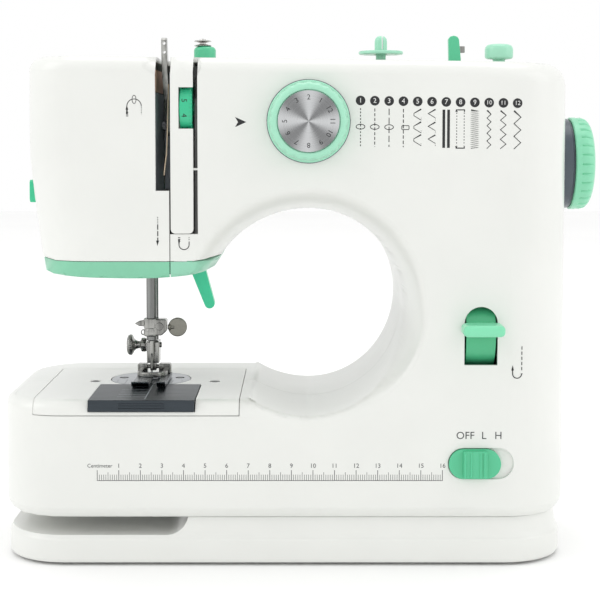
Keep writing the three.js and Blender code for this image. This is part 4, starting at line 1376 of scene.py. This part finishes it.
def presser_lifter():
    low, high = box("presser_lifter")
    pivot, tip = (-56.0, 143.0), (-46.4, 114.2)
    lean = math.degrees(math.atan2(tip[1] - pivot[1], tip[0] - pivot[0]))
    outline = arc(*tip, 2.6, lean - 90, lean + 90, 12) + arc(*pivot, 4.4, lean + 90, lean + 270, 16)
    lever = rounded(prism("lifter_lever", "y", outline, low.y, high.y), 1.1, 4)
    # the lifter's colour carries painted light against the head's shade
    finish(lever, LIFTER_GREEN_PAINTED_LIGHT, ["presser_lifter"])


def presser_spring():
    """The wound spring over the collar, built at one length; on the machine it shortens upwards as the
    bar rises.
    """
    low, high = box("presser_spring")
    at, wire = middle("presser_spring").xy, 0.35
    reach, turns, steps = (high.x - low.x) / 2 - wire, 6, 144
    path = []
    for i in range(steps + 1):
        angle = 2 * math.pi * turns * i / steps
        rise = (high.z - low.z - 2 * wire) * i / steps
        path.append((at.x + reach * math.cos(angle), at.y + reach * math.sin(angle),
                     low.z + wire + rise))
    spring = tube("presser_spring_wire", path, wire, 8)
    finish(spring, CHROME, ["presser_spring"])
    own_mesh(spring)


def presser_foot():
    """Two upturned toes, a sole with the needle hole, a raised guard and the pin's ears."""
    toe = [(32, 78.7), (33, 80.4), (30.6, 80.9), (28.2, 82), (27.5, 81.5), (29.2, 79.7)]
    parts = [prism("toe", "x", toe, x0, x1) for x0, x1 in ((-81.4, -73), (-69.2, -65))]
    sole = [(-81.4, 31), (-73, 31), (-73, 50), (-77.4, 50), (-77.4, 60), (-70.6, 60), (-70.6, 50),
            (-69.2, 50), (-69.2, 31), (-65, 31), (-65, 66.6), (-81.4, 66.6)]
    parts.append(prism("sole", "z", sole, 78.7, 80.4))
    parts = [rounded(part, 0.3, 2) for part in parts]
    finish(join(*parts), DARK_STEEL, ["presser_foot"])
    at = (-74.0, 56.5)
    guard = prism("guard", "z", arc(*at, 7.6, 180, 360, 24) + arc(*at, 5.4, 360, 180, 24),
                  80.2, 82.6)
    ears = [block("ear", x0, x1, 61.4, 66.8, 80.2, 85.2, 0.7, 3)
            for x0, x1 in ((-82, -77), (-71.3, -65.2))]
    bridge = [block("bridge", x0, x1, 56, 62.5, 80.2, 82.6, 0.6, 3)
              for x0, x1 in ((-81.6, -79), (-69, -66.4))]
    pin = lathe("foot_pin", "x", (65, 83.4), [(0.8, -79), (1, -78.7), (1, -69.6), (0.8, -69.3)], 24)
    bracket = join(rounded(guard, 0.6, 3), *ears, *bridge, pin, name="foot_bracket")
    finish(bracket, CHROME, body="sewing_foot")


def take_up_lever():
    pivot = (40.0, 205.0)
    outline = (arc(*pivot, 5, -153, 36, 16) + [(24, 231), (19.5, 240)]
               + arc(15.5, 243, 2.6, 0, 180, 12) + [(16, 230)])
    lever = prism("take_up_arm", "x", outline, -64.4, -61.8, [circle(*pivot, 2.35, 24)])
    lever = rounded(lever, 0.35, 2)
    holes = [bore("y", (-63.1, z), 0.75, (5, 30), 20) for z in (243, 239)]
    finish(subtract(lever, *holes), CHROME, ["take_up_lever"])


# ---- controls and top fittings --------------------------------------------------------------

def hand_wheel():
    low, high = box("hand_wheel")
    at, r, face = middle("hand_wheel").yz, (high.z - low.z) / 2, high.x

    def grip(angle, reach, h):
        groove = max(0.0, math.cos(30 * angle)) ** 6
        return reach - 0.75 * groove if face - 7 < h < face - 1.4 else reach

    rim = lathe("hand_wheel_rim", "x", at,
                [(5, low.x), (r - 0.5, low.x), (r, low.x + 0.5), (r, face - 7.2),
                 (r - 0.3, face - 6.6), (r - 0.1, face - 4.6), (r - 0.7, face - 2.6),
                 (r - 1.9, face - 1.3), (r - 3.2, face - 0.5), (r - 4.6, face), (15.8, face),
                 (14.8, face - 0.4), (13.6, face - 1.6), (12, face - 2.1), (6, face - 2.3),
                 (5.4, face - 1.8), (4.2, face - 1.5), (0.3, face - 1.5)], 360, grip)
    finish(rim, WHEEL_MINT, ["hand_wheel"], sharp=40)
    low, high = box("wheel_hub")
    hub = lathe("wheel_hub_drum", "x", middle("wheel_hub").yz,
                [(5, low.x), (r - 1.2, low.x), (r - 0.6, low.x + 0.5), (r - 0.6, high.x - 0.9),
                 (r - 1.2, high.x - 0.5), (r - 1.2, high.x), (5, high.x)], 96)
    finish(hub, HUB_GREY, ["wheel_hub"])


def pattern_dial():
    low, high = box("pattern_dial")
    at, r = ((low.x + high.x) / 2, (low.z + high.z) / 2), (high.x - low.x) / 2

    def lobes(angle, reach, h):
        return reach + 0.22 * math.cos(24 * angle) if -9.6 < h < -3 else reach

    ring = lathe("pattern_dial_ring", "y", at,
                 [(6, -0.4), (r - 0.3, -0.4), (r, -0.7), (r, -2.2), (r - 0.3, -2.6), (17.9, -2.8),
                  (17.9, -3.4), (17.7, -8.4), (17.2, -9.5), (16.4, -10.3), (15.3, -10.7),
                  (14.5, -10.6), (14.2, -10.2), (14.1, -9.9), (0.3, -9.9)], 288, lobes)
    finish(ring, PALE_MINT, ["pattern_dial"])
    rim = lathe("pattern_dial_shadow_ring", "y", at, [(r + 0.35, -0.06), (r + 0.35, -0.3),
                                                      (r + 0.2, -0.36), (r - 0.6, -0.36)], 128)
    finish(rim, HUB_GREY, body="root")
    low, high = box("dial_face")
    reach = (high.x - low.x) / 2
    face = lathe("dial_face_disc", "y", at, [(reach - 0.2, high.y), (reach, high.y - 0.2),
                                             (reach, low.y + 0.3), (reach - 0.3, low.y)], 128)
    # the dial face takes spun grooves and painted sector highlights
    brushed = brushed_disc("brushed_dial", (0.62, 0.63, 0.64), tuple(place(at[0], 0, at[1])))
    finish(face, brushed, ["dial_face"])
    numbers = []
    for number in range(1, 13):
        turn = math.radians(30 * (number - 2))
        numbers.append((str(number), 3.3, at[0] - 10.7 * math.sin(turn),
                        at[1] + 10.7 * math.cos(turn), turn))
    lettering("dial_numbers", numbers, INK, lambda x, z: low.y, "stitch_dial")


def tension_dial():
    low, high = box("tension_dial")
    at, r = middle("tension_dial").yz, (high.z - low.z) / 2

    def knurl(angle, reach, h):
        return reach - 0.3 * max(0.0, math.cos(40 * angle)) ** 3 if h > -50.6 else reach

    wheel = lathe("tension_dial_wheel", "x", at,
                  [(3, low.x), (3, -55), (r - 0.3, -55), (r, -54.7), (r, -50.7), (r, -50.4),
                   (r, -49.6), (r - 0.4, -49.2), (3, -49.2), (3, high.x)], 240, knurl)
    finish(wheel, WINDOW_GREEN, ["tension_dial"])
    points, faces = [], []
    for i, turn in enumerate((-48, -16, 16, 48)):
        spots, polygons = text_solid(str(6 - i), 3.6)
        first = len(points)
        faces += [tuple(k + first for k in p) for p in polygons]
        for right, up, out in spots:
            angle, reach = math.radians(turn) + right / r, r + out
            points.append((-52.9 + up, at[0] - reach * math.cos(angle),
                           at[1] - reach * math.sin(angle)))
    digits = closed_normals(mesh_object("tension_digits", points, faces))
    finish(digits, INK, body="tension")


def reverse_lever():
    low, high = box("reverse_lever")
    axle, r = (16.5, 108.0), 17.0
    drum = prism("reverse_drum", "x", arc(*axle, r, 105, 252, 48) + [axle], 76.65, 90.25)
    bar = block("reverse_bar", low.x, high.x, low.y, -1, 109.2, 114.5, 2.0, 5)
    neck = block("reverse_neck", 77.2, 89.8, -4, 6, 109.5, 114.2, 0.4, 2)
    axle_pin = lathe("reverse_axle", "x", axle, [(3, 74.4), (3, 92.6)], 32)
    finish(join(rounded(drum, 0.25, 2), axle_pin), LEVER_GREEN, ["reverse_lever"])
    # the bar takes the lighter, painted-light copy of the lever's green
    finish(join(bar, neck), BAR_GREEN_PAINTED_LIGHT, body="reverse")


def speed_switch():
    low, high = box("speed_switch")
    base = rounded(prism("switch_base", "y", stadium(low.x, high.x, low.z, high.z, 24),
                         -1.4, high.y), 0.7, 4)
    parts = [base, block("switch_grip", 75.4, 86.6, -3.6, -1, low.z + 0.7, high.z - 0.7, 0.9, 4)]
    for x in (76.2, 79, 83.4, 85.2):
        parts.append(block("switch_rib", x - 0.55, x + 0.55, low.y, -3, low.z + 1, high.z - 1,
                           0.45, 3))
    finish(join(*parts), SWITCH_GREEN, ["speed_switch"])


def recess_floors():
    """What is seen behind the switch and behind the reverse lever."""
    x0, x1, z0, z1 = SWITCH_SLOT
    pan = prism("switch_pan", "y", stadium(x0 - 0.6, x1 + 0.6, z0 - 0.6, z1 + 0.6, 24), 1.55, 2.6)
    finish(pan, WHITE, body="root")
    x0, x1, z0, z1 = LEVER_ARCH
    well = prism("lever_well", "y", arch(x0 - 2, x1 + 2, z0 - 2, z1 + 2), 34, 35)
    finish(well, LEVER_GREEN, body="root")


def winder():
    """The bobbin winder's spindle with its holed flange, and its collar."""
    at = middle("winder_spindle").xy
    spindle = lathe("winder_spindle_turned", "z", at,
                    [(1.9, 215), (1.9, 234), (2.4, 234.4), (2.4, 238.6), (3.4, 239.2),
                     (10.3, 239.2), (10.7, 239.5), (10.7, 240.4), (10.3, 240.8), (3.4, 240.9),
                     (3, 241.3), (3, 245.4), (2.7, 246.8), (1.9, 247.7), (1, 248.1)], 96)
    slit = opening("z", rectangle(at.x + 0.3, at.x + 0.9, at.y - 5, at.y + 5), (241.6, 250))
    holes = [opening("z", circle(at.x + 8.3 * math.cos(math.radians(a)),
                                 at.y + 8.3 * math.sin(math.radians(a)), 1.0, 16), (238, 242))
             for a in range(30, 390, 60)]
    finish(subtract(spindle, slit, *holes), PALE_MINT, ["winder_spindle"])
    level = top(at.x)
    ring = lathe("winder_collar", "z", at, [(4.6, level - 0.6), (4.6, level + 0.5),
                                            (4.2, level + 0.8), (3.1, level + 0.8)])
    subtract(ring, bore("z", at, 2.3, (215, 245)))
    finish(ring, WHITE, body="root")


def winder_latch():
    low, high = box("winder_latch")
    x, z = 74.8, 229.0
    outline = [(x - 2.8, z - 3), (x + 2.8, z - 3), (x + 2.6, z + 8), (x + 1.7, z + 17.4),
               (x + 0.9, z + 18.7), (x - 0.8, z + 19.2), (x - 2.4, z + 18.8), (x - 3.4, z + 17.6)]
    finger = rounded(prism("latch_finger", "y", outline, low.y, high.y), 0.8, 4)
    finish(finger, SWITCH_GREEN, ["winder_latch"])
    cutter = block("latch_cutter", x + 1, x + 4.6, low.y + 1.2, high.y - 1.2, z + 11, z + 14.2, 0.3)
    finish(cutter, CHROME, body="latch")


def spool_pin():
    at = middle("spool_pin").xy
    pin = lathe("spool_pin_turned", "z", at,
                [(2.6, 183), (2.9, 183.4), (2.9, 236.4), (3.3, 236.8), (5.8, 237.1), (6.5, 237.5),
                 (6.8, 238.3), (6.8, 241.6), (6.5, 242.8), (5.7, 243.7), (4.4, 244.1),
                 (2.6, 244.3)], 96)
    finish(pin, PALE_MINT, ["spool_pin"])


def thread_guide():
    low, high = box("guide_base")
    at = middle("guide_base").xy
    base = lathe("guide_base_turned", "z", at,
                 [(4.9, low.z - 1), (5.2, low.z), (5.2, 240.6), (4.9, 241.4), (4.2, 242.1),
                  (3.2, high.z)], 64)
    finish(base, SWITCH_GREEN, ["guide_base"])
    at = middle("guide_discs").xy
    discs = lathe("guide_discs_turned", "z", at,
                  [(1.2, 242.4), (3.7, 242.5), (4.2, 242.8), (4.1, 243), (1.4, 243.7),
                   (1.4, 244.1), (4.1, 244.8), (4.2, 245), (3.6, 245.3), (1.6, 245.4),
                   (1.4, 245.9), (0.6, 246.1)], 64)
    finish(discs, BRIGHT, ["guide_discs"])


def thread_cutter():
    low, high = box("thread_cutter")
    outline = [(low.y, low.z + 1), (low.y + 1, low.z), (high.y - 1, low.z), (high.y, low.z + 1),
               (high.y, high.z - 1), (high.y - 1, high.z), (31.2, high.z), (30.4, high.z - 3.4),
               (29.6, high.z - 3.4), (28.8, high.z), (low.y + 1, high.z), (low.y, high.z - 1)]
    cutter = rounded(prism("thread_cutter_body", "x", outline, low.x, high.x + 1.6), 0.4, 3)
    finish(cutter, GREEN, ["thread_cutter"])
    blade = block("cutter_blade", low.x + 0.6, high.x, 29.8, 30.2, high.z - 4.5, high.z - 1.6, 0)
    finish(blade, CHROME, body="root")


def sockets():
    for name, hollow, pin in (("power_jack", 3.4, 0.9), ("pedal_jack", 1.8, 0.0)):
        low, high = box(name)
        at, r = middle(name).yz, (high.z - low.z) / 2
        body = lathe(name + "_tube", "x", at, [(r, low.x), (r, high.x - 0.3), (r - 0.3, high.x)], 48)
        subtract(body, bore("x", at, hollow, SIDE_SPAN, 40))
        if pin:
            contact = lathe("contact", "x", at, [(pin, 117), (pin, 124), (pin * 0.5, 124.4)], 24)
            body = join(body, contact)
        finish(body, BLACK, [name])


def slot_linings():
    """Linings seen through the take-up slot, and dark sheets of painted shade in the slit beside the
    tension strip and behind the face seam.
    """
    plates = (
        ("slot_back_plate", SLATE, -66.0, -60.2, 45.3, 46.2, 174, 231),
        ("slot_side_plate", SLATE, -67.4, -66.5, 3.5, 46, 172, 220),
        ("slot_copper_plate", COPPER, -67.4, -66.5, 7.4, 46, 220.4, 230.6),
        # painted shade: dark sheets standing for the shade inside the slit beside the tension strip
        ("strip_lining_lower", SLIT_SHADE, -60, -44.6, 8.2, 9, 153.5, 199),
        ("strip_lining_upper", SLIT_SHADE, -58.8, -44.6, 8.2, 9, 226.4, 232),
        ("strip_lining_edge", SLIT_SHADE, -48.2, -44.6, 2.7, 3.5, 153.5, 217),
        ("strip_lining_top_edge", SLIT_SHADE, -48.2, -44.6, 8.2, 9, 216.4, 227),
    )
    for name, look, *spots in plates:
        finish(block(name, *spots, 0), look, body="root")
    tie = block("strip_tie", -49.2, -46.4, 0.6, 2.2, 184.4, 185.4, 0.2)
    finish(tie, WHITE, body="root")
    path = [(-61.2, 14, 224), (-60.9, 8, 212), (-61.0, 4.5, 200), (-61.3, 4, 192), (-62.0, 4, 187),
            (-62.6, 5, 182)]
    finish(tube("thread_in_slot", path, 0.3, 8), THREAD, body="root")
    # painted shade: a dark sheet behind the face seam, standing for the shade in the gap
    seam = block("face_seam_painted_shade", SEAM - 1.6, SEAM + 1.6, 2.6, 3.4, TRIM_TOP - 6, 174, 0)
    finish(seam, SEAM_SHADE, body="root")


# ---- printed marks --------------------------------------------------------------------------

INK_ABOVE, INK_BELOW = 0.04, 0.06      # how far a printed mark stands out and reaches in


def text_solid(words, size):
    """Thick lettering about the origin, as (right, up, out) points in millimetres, and faces."""
    curve = bpy.data.curves.new("words", "FONT")
    curve.body = words
    curve.size = size
    curve.align_x, curve.align_y = "CENTER", "CENTER"
    curve.resolution_u = 3
    curve.extrude = 0.05
    holder = bpy.data.objects.new("words", curve)
    bpy.context.scene.collection.objects.link(holder)
    graph = bpy.context.evaluated_depsgraph_get()
    mesh = bpy.data.meshes.new_from_object(holder.evaluated_get(graph))
    bpy.data.objects.remove(holder)
    return [tuple(v.co) for v in mesh.vertices], [tuple(p.vertices) for p in mesh.polygons]


def on_front(x, z):
    return face_depth(x, z, FRONT_MOUTH)


def lettering(name, items, look, depth=on_front, body="root"):
    """Lettering on the front. Items are (words, size, x, z, turn)."""
    points, faces = [], []
    for words, size, x, z, turn in items:
        spots, polygons = text_solid(words, size)
        first = len(points)
        faces += [tuple(k + first for k in p) for p in polygons]
        for right, up, out in spots:
            px = x + right * math.cos(turn) - up * math.sin(turn)
            pz = z + right * math.sin(turn) + up * math.cos(turn)
            points.append((px, depth(px, pz) - out, pz))
    return finish(closed_normals(mesh_object(name, points, faces)), look, body=body)


def ribbon(path, width, closed=False):
    """A flat line of even width along a path, as points and faces."""
    points, count = [], len(path)
    for i, (x, z) in enumerate(path):
        before = path[i - 1] if i or closed else (x, z)
        after = path[(i + 1) % count] if i < count - 1 or closed else (x, z)
        first = Vector((x - before[0], z - before[1]))
        second = Vector((after[0] - x, after[1] - z))
        first, second = first or second, second or first
        first.normalize()
        second.normalize()
        along = (first + second).normalized()
        reach = width / 2 / max(0.45, along.dot(first))
        points += [(x - along.y * reach, z + along.x * reach),
                   (x + along.y * reach, z - along.x * reach)]
    faces = []
    for i in range(count if closed else count - 1):
        a, b = 2 * i, 2 * ((i + 1) % count)
        faces.append((a, a + 1, b + 1, b))
    return points, faces


def patch(outline):
    return list(outline), [tuple(range(len(outline)))]


def stroke(x0, x1, z0, z1):
    return patch(rectangle(x0, x1, z0, z1))


def printed(name, shapes, look):
    """Flat shapes laid on the front, each a thin solid."""
    points, faces = [], []
    for flat, polygons in shapes:
        first, count = len(points), len(flat)
        for sink in (-INK_ABOVE, INK_BELOW):
            points += [(x, on_front(x, z) + sink, z) for x, z in flat]
        for polygon in polygons:
            faces.append(tuple(first + i for i in polygon))
            faces.append(tuple(first + count + i for i in polygon[::-1]))
        for a, b in open_edges(polygons):
            faces.append((first + b, first + a, first + count + a, first + count + b))
    made = closed_normals(mesh_object(name, points, faces))
    return finish(made, look, body="root")


CHART_LEFT, CHART_STEP = 27.6, 6.51
CHART_HIGH, CHART_FALL = 216.2, 0.11
GLYPH_LONG = 17.4


def chart_spot(i):
    """The middle of one numbered disc of the chart, which slopes a little."""
    return CHART_LEFT + i * CHART_STEP, CHART_HIGH - i * CHART_FALL


def dashes(x, high, long, dash, gap, width):
    """A broken upright line."""
    shapes, z = [], high
    while z > high - long:
        shapes.append(stroke(x - width / 2, x + width / 2, max(z - dash, high - long), z))
        z -= dash + gap
    return shapes


def zigzag(x, high, half, pitch, width):
    count = round(GLYPH_LONG / pitch)
    path = [(x + (half if i % 2 else -half), high - GLYPH_LONG * i / count)
            for i in range(count + 1)]
    return ribbon(path, width)


def oval(x, z, half_x, half_z, width=0.34):
    path = [(x + half_x * math.cos(math.radians(a)), z + half_z * math.sin(math.radians(a)))
            for a in range(0, 360, 20)]
    return ribbon(path, width, closed=True)


def blind_hem(x, high, back):
    """Three bends of a stitch; back says how the run between two bends returns."""
    shapes, pitch = [], GLYPH_LONG / 3
    for i in range(3):
        z = high - i * pitch
        shapes.append(ribbon([(x + 1.6, z), (x - 1.7, z - 1.9), *back(x, z)], 0.3))
        shapes += dashes(x + 1.6, z - 3.9, pitch - 4.3, 0.35, 0.4, 0.22)
    return shapes


def stitch_glyphs():
    tops = [(x, z - 3.5) for x, z in map(chart_spot, range(12))]
    shapes = []
    for i, (dash, gap) in enumerate(((0.8, 0.7), (1.4, 0.75), (2.9, 1.2), (1.6, 0.8))):
        x, z = tops[i]
        shapes += dashes(x, z, GLYPH_LONG, dash, gap, 0.4)
        if i < 3:
            shapes.append(oval(x, z - 8.4, 2.0, 1.1))
        else:
            shapes.append(ribbon(rectangle(x - 0.7, x + 2.6, z - 9.4, z - 7.6, 0.4), 0.34, True))
    x, z = tops[4]
    shapes += blind_hem(x, z, lambda x, z: [(x - 1.7, z - 3.0), (x + 1.6, z - 5.0)])
    x, z = tops[5]
    shapes += blind_hem(x, z, lambda x, z: [(x + 1.5, z - 3.8)])
    x, z = tops[6]
    shapes += [stroke(x - 1.7, x - 0.45, z - GLYPH_LONG, z), stroke(x + 0.45, x + 1.7, z - GLYPH_LONG, z)]
    x, z = tops[7]
    for side_x in (x - 1.7, x + 1.7):
        shapes += dashes(side_x, z - 1.2, GLYPH_LONG - 2.4, 0.6, 0.75, 0.36)
    for level, reach in ((z, -0.9), (z - GLYPH_LONG, 0.9)):
        path = [(x - 1.8, level + reach), (x - 1.8, level), (x + 1.8, level), (x + 1.8, level + reach)]
        shapes.append(ribbon(path, 0.5))
    x, z = tops[8]
    shapes.append(zigzag(x, z, 1.7, 0.46, 0.36))
    for i, half, pitch in ((9, 0.9, 1.75), (10, 1.3, 2.2), (11, 1.6, 2.9)):
        x, z = tops[i]
        shapes.append(zigzag(x, z, half, pitch, 0.34))
    return shapes


def front_prints():
    disc_spots = [chart_spot(i) for i in range(12)]
    shapes = stitch_glyphs() + [patch(circle(x, z, 2.2, 36)) for x, z in disc_spots]
    arrow_x, arrow_z = -29.6, 206.4
    for sign in (-1, 1):
        shapes.append(patch([(arrow_x + 1.3, arrow_z), (arrow_x, arrow_z + 2.3 * sign),
                             (arrow_x + 5.1, arrow_z)][::sign]))
    printed("stitch_chart", shapes, INK)
    digits = [(str(i + 1), 3.1 if i < 9 else 2.7, x, z, 0.0) for i, (x, z) in enumerate(disc_spots)]
    lettering("chart_numbers", digits, INK_WHITE, lambda x, z: on_front(x, z) - INK_ABOVE)

    ruler_left, ruler_low = -94.0, 40.5
    shapes = [stroke(ruler_left - 0.15, ruler_left + 160.15, ruler_low, ruler_low + 0.25)]
    for mark in range(161):
        tall = 5.0 if mark % 10 == 0 else (4.0 if mark % 5 == 0 else 2.9)
        x = ruler_left + mark
        half = 0.14 if mark % 10 == 0 else 0.1
        shapes.append(stroke(x - half, x + half, ruler_low + 0.1, ruler_low + tall))
    printed("ruler_scale", shapes, INK_SOFT)
    numbers = [(str(i), 2.9, ruler_left + 10 * i, ruler_low + 7.0, 0.0) for i in range(1, 17)]
    lettering("ruler_numbers", numbers + [("Centimeter", 2.5, -92.8, ruler_low + 7.0, 0.0)], INK_SOFT)
    lettering("switch_words", [("OFF", 4.9, 76.5, 61.6, 0.0), ("L", 4.9, 85.1, 61.6, 0.0),
                               ("H", 4.9, 91.8, 61.6, 0.0)], INK_SOFT)

    hook_x, hook_z = 102.4, 90.6
    hook = arc(hook_x - 2.15, hook_z, 2.15, 0, -180, 16) + [(hook_x - 4.3, hook_z + 1.8)]
    shapes = dashes(hook_x, hook_z + 12.6, 11.8, 1.5, 0.9, 0.4) + [ribbon(hook, 0.45)]
    shapes.append(patch([(hook_x - 4.9, hook_z + 1.5), (hook_x - 3.7, hook_z + 1.5),
                         (hook_x - 4.3, hook_z + 3.9)]))
    x, z = -75.6, 213.6
    path = [(x - 3.3, z - 3.4)] + arc(x, z, 3.3, 180, 0, 16)
    shapes += [ribbon(path, 0.36), oval(x, z + 3.1, 0.9, 1.9, 0.28)]
    shapes += dashes(x + 3.3, z - 0.4, 3.4, 0.5, 0.6, 0.34)
    shapes.append(patch([(x - 3.9, z - 1.6), (x - 2.7, z - 1.6), (x - 3.3, z + 0.4)][::-1]))
    shapes += [stroke(x - 3.7, x - 2.7, z - level - 0.4, z - level) for level in (2.6, 3.4, 4.2)]
    shapes += dashes(-65.2, 163.0, 3.2, 0.5, 0.5, 0.4) + dashes(-65.2, 159.6, 7.8, 2.4, 0.6, 0.5)
    shapes.append(patch([(-66.0, 152.2), (-64.6, 152.2), (-65.4, 149.8)][::-1]))
    x, z = -53.2, 150.3
    shapes.append(ribbon([(x - 2.3, z + 2.4)] + arc(x, z, 2.3, 180, 360, 16) + [(x + 2.3, z + 1.4)],
                         0.4))
    shapes += [stroke(x - 2.7, x - 1.7, z + level, z + level + 0.4) for level in (1.4, 2.2, 3.0)]
    shapes += dashes(x + 2.3, z + 3.4, 1.4, 0.4, 0.4, 0.34)
    printed("threading_marks", shapes, INK)


# ---- floor, light and camera ----------------------------------------------------------------

CAMERA_BACK, CAMERA_HIGH = 648.0, 200.8
TILT = math.radians(3.78)     # looks down by this much
FOCAL = 2.362                 # focal length in frame widths
SHIFT = -0.12
SENSOR = 36.0
AIM = Vector((0, 0, 0.12))    # metres: where the lights point


def camera():
    """Stands a little below the top of the arm, looking slightly down."""
    data = bpy.data.cameras.new("camera")
    made = bpy.data.objects.new("camera", data)
    bpy.context.scene.collection.objects.link(made)
    data.sensor_width = SENSOR
    data.lens = FOCAL * SENSOR
    data.shift_y = SHIFT
    data.clip_start = 0.01
    made.location = place(0, -CAMERA_BACK, CAMERA_HIGH)
    made.rotation_euler = (math.pi / 2 - TILT, 0, 0)
    bpy.context.scene.camera = made


def light(name, x, y, z, size, power):
    data = bpy.data.lights.new(name, "AREA")
    data.shape = "RECTANGLE"
    data.size, data.size_y = size
    data.energy = power
    made = bpy.data.objects.new(name, data)
    bpy.context.scene.collection.objects.link(made)
    made.location = (x, y, z)
    made.rotation_euler = (AIM - made.location).to_track_quat("-Z", "Y").to_euler()


def studio():
    world = bpy.data.worlds.new("world")
    bpy.context.scene.world = world
    world.use_nodes = True
    background = world.node_tree.nodes["Background"]
    background.inputs["Color"].default_value = (1, 1, 1, 1)
    background.inputs["Strength"].default_value = 1.0
    light("key", -1.5, -0.5, 1.1, (1.0, 1.4), 6)
    light("fill", 1.5, -0.5, 0.9, (1.0, 1.4), 4.2)
    light("top", 0.1, 0.3, 1.8, (1.4, 1.0), 6.5)
    bpy.context.scene.view_settings.view_transform = "Standard"


def floor():
    size = 3.0
    mesh = bpy.data.meshes.new("floor")
    corners = [(-size, -size, 0), (size, -size, 0), (size, size, 0), (-size, size, 0)]
    mesh.from_pydata(corners, [], [(0, 1, 2, 3)])
    made = bpy.data.objects.new("floor", mesh)
    bpy.context.scene.collection.objects.link(made)
    n = Nodes("floor_paper")
    n.paint(n.noise(3.0), (0.93, 0.93, 0.925), (0.95, 0.95, 0.945))
    n.set(Roughness=0.8)
    mesh.materials.append(n.material)


camera()
studio()
floor()
front_cover()
rear_cover()
face_cover()
head_trim(True)
head_trim(False)
base_tray()
for foot_name in ("foot_front_left", "foot_front_right", "foot_rear_left", "foot_rear_right"):
    foot(foot_name)
face_strip()
bed_cover()
floor_panels()
screws()
needle_plate()
slide_plate()
feed_dog()
hook_cup()
bobbin_case()
bobbin()
needle_bar()
needle_clamp()
clamp_screw()
needle()
presser_bar()
foot_holder()
foot_screw()
presser_foot()
presser_lifter()
presser_spring()
take_up_lever()
hand_wheel()
pattern_dial()
tension_dial()
reverse_lever()
speed_switch()
recess_floors()
winder()
winder_latch()
spool_pin()
thread_guide()
thread_cutter()
sockets()
slot_linings()
front_prints()
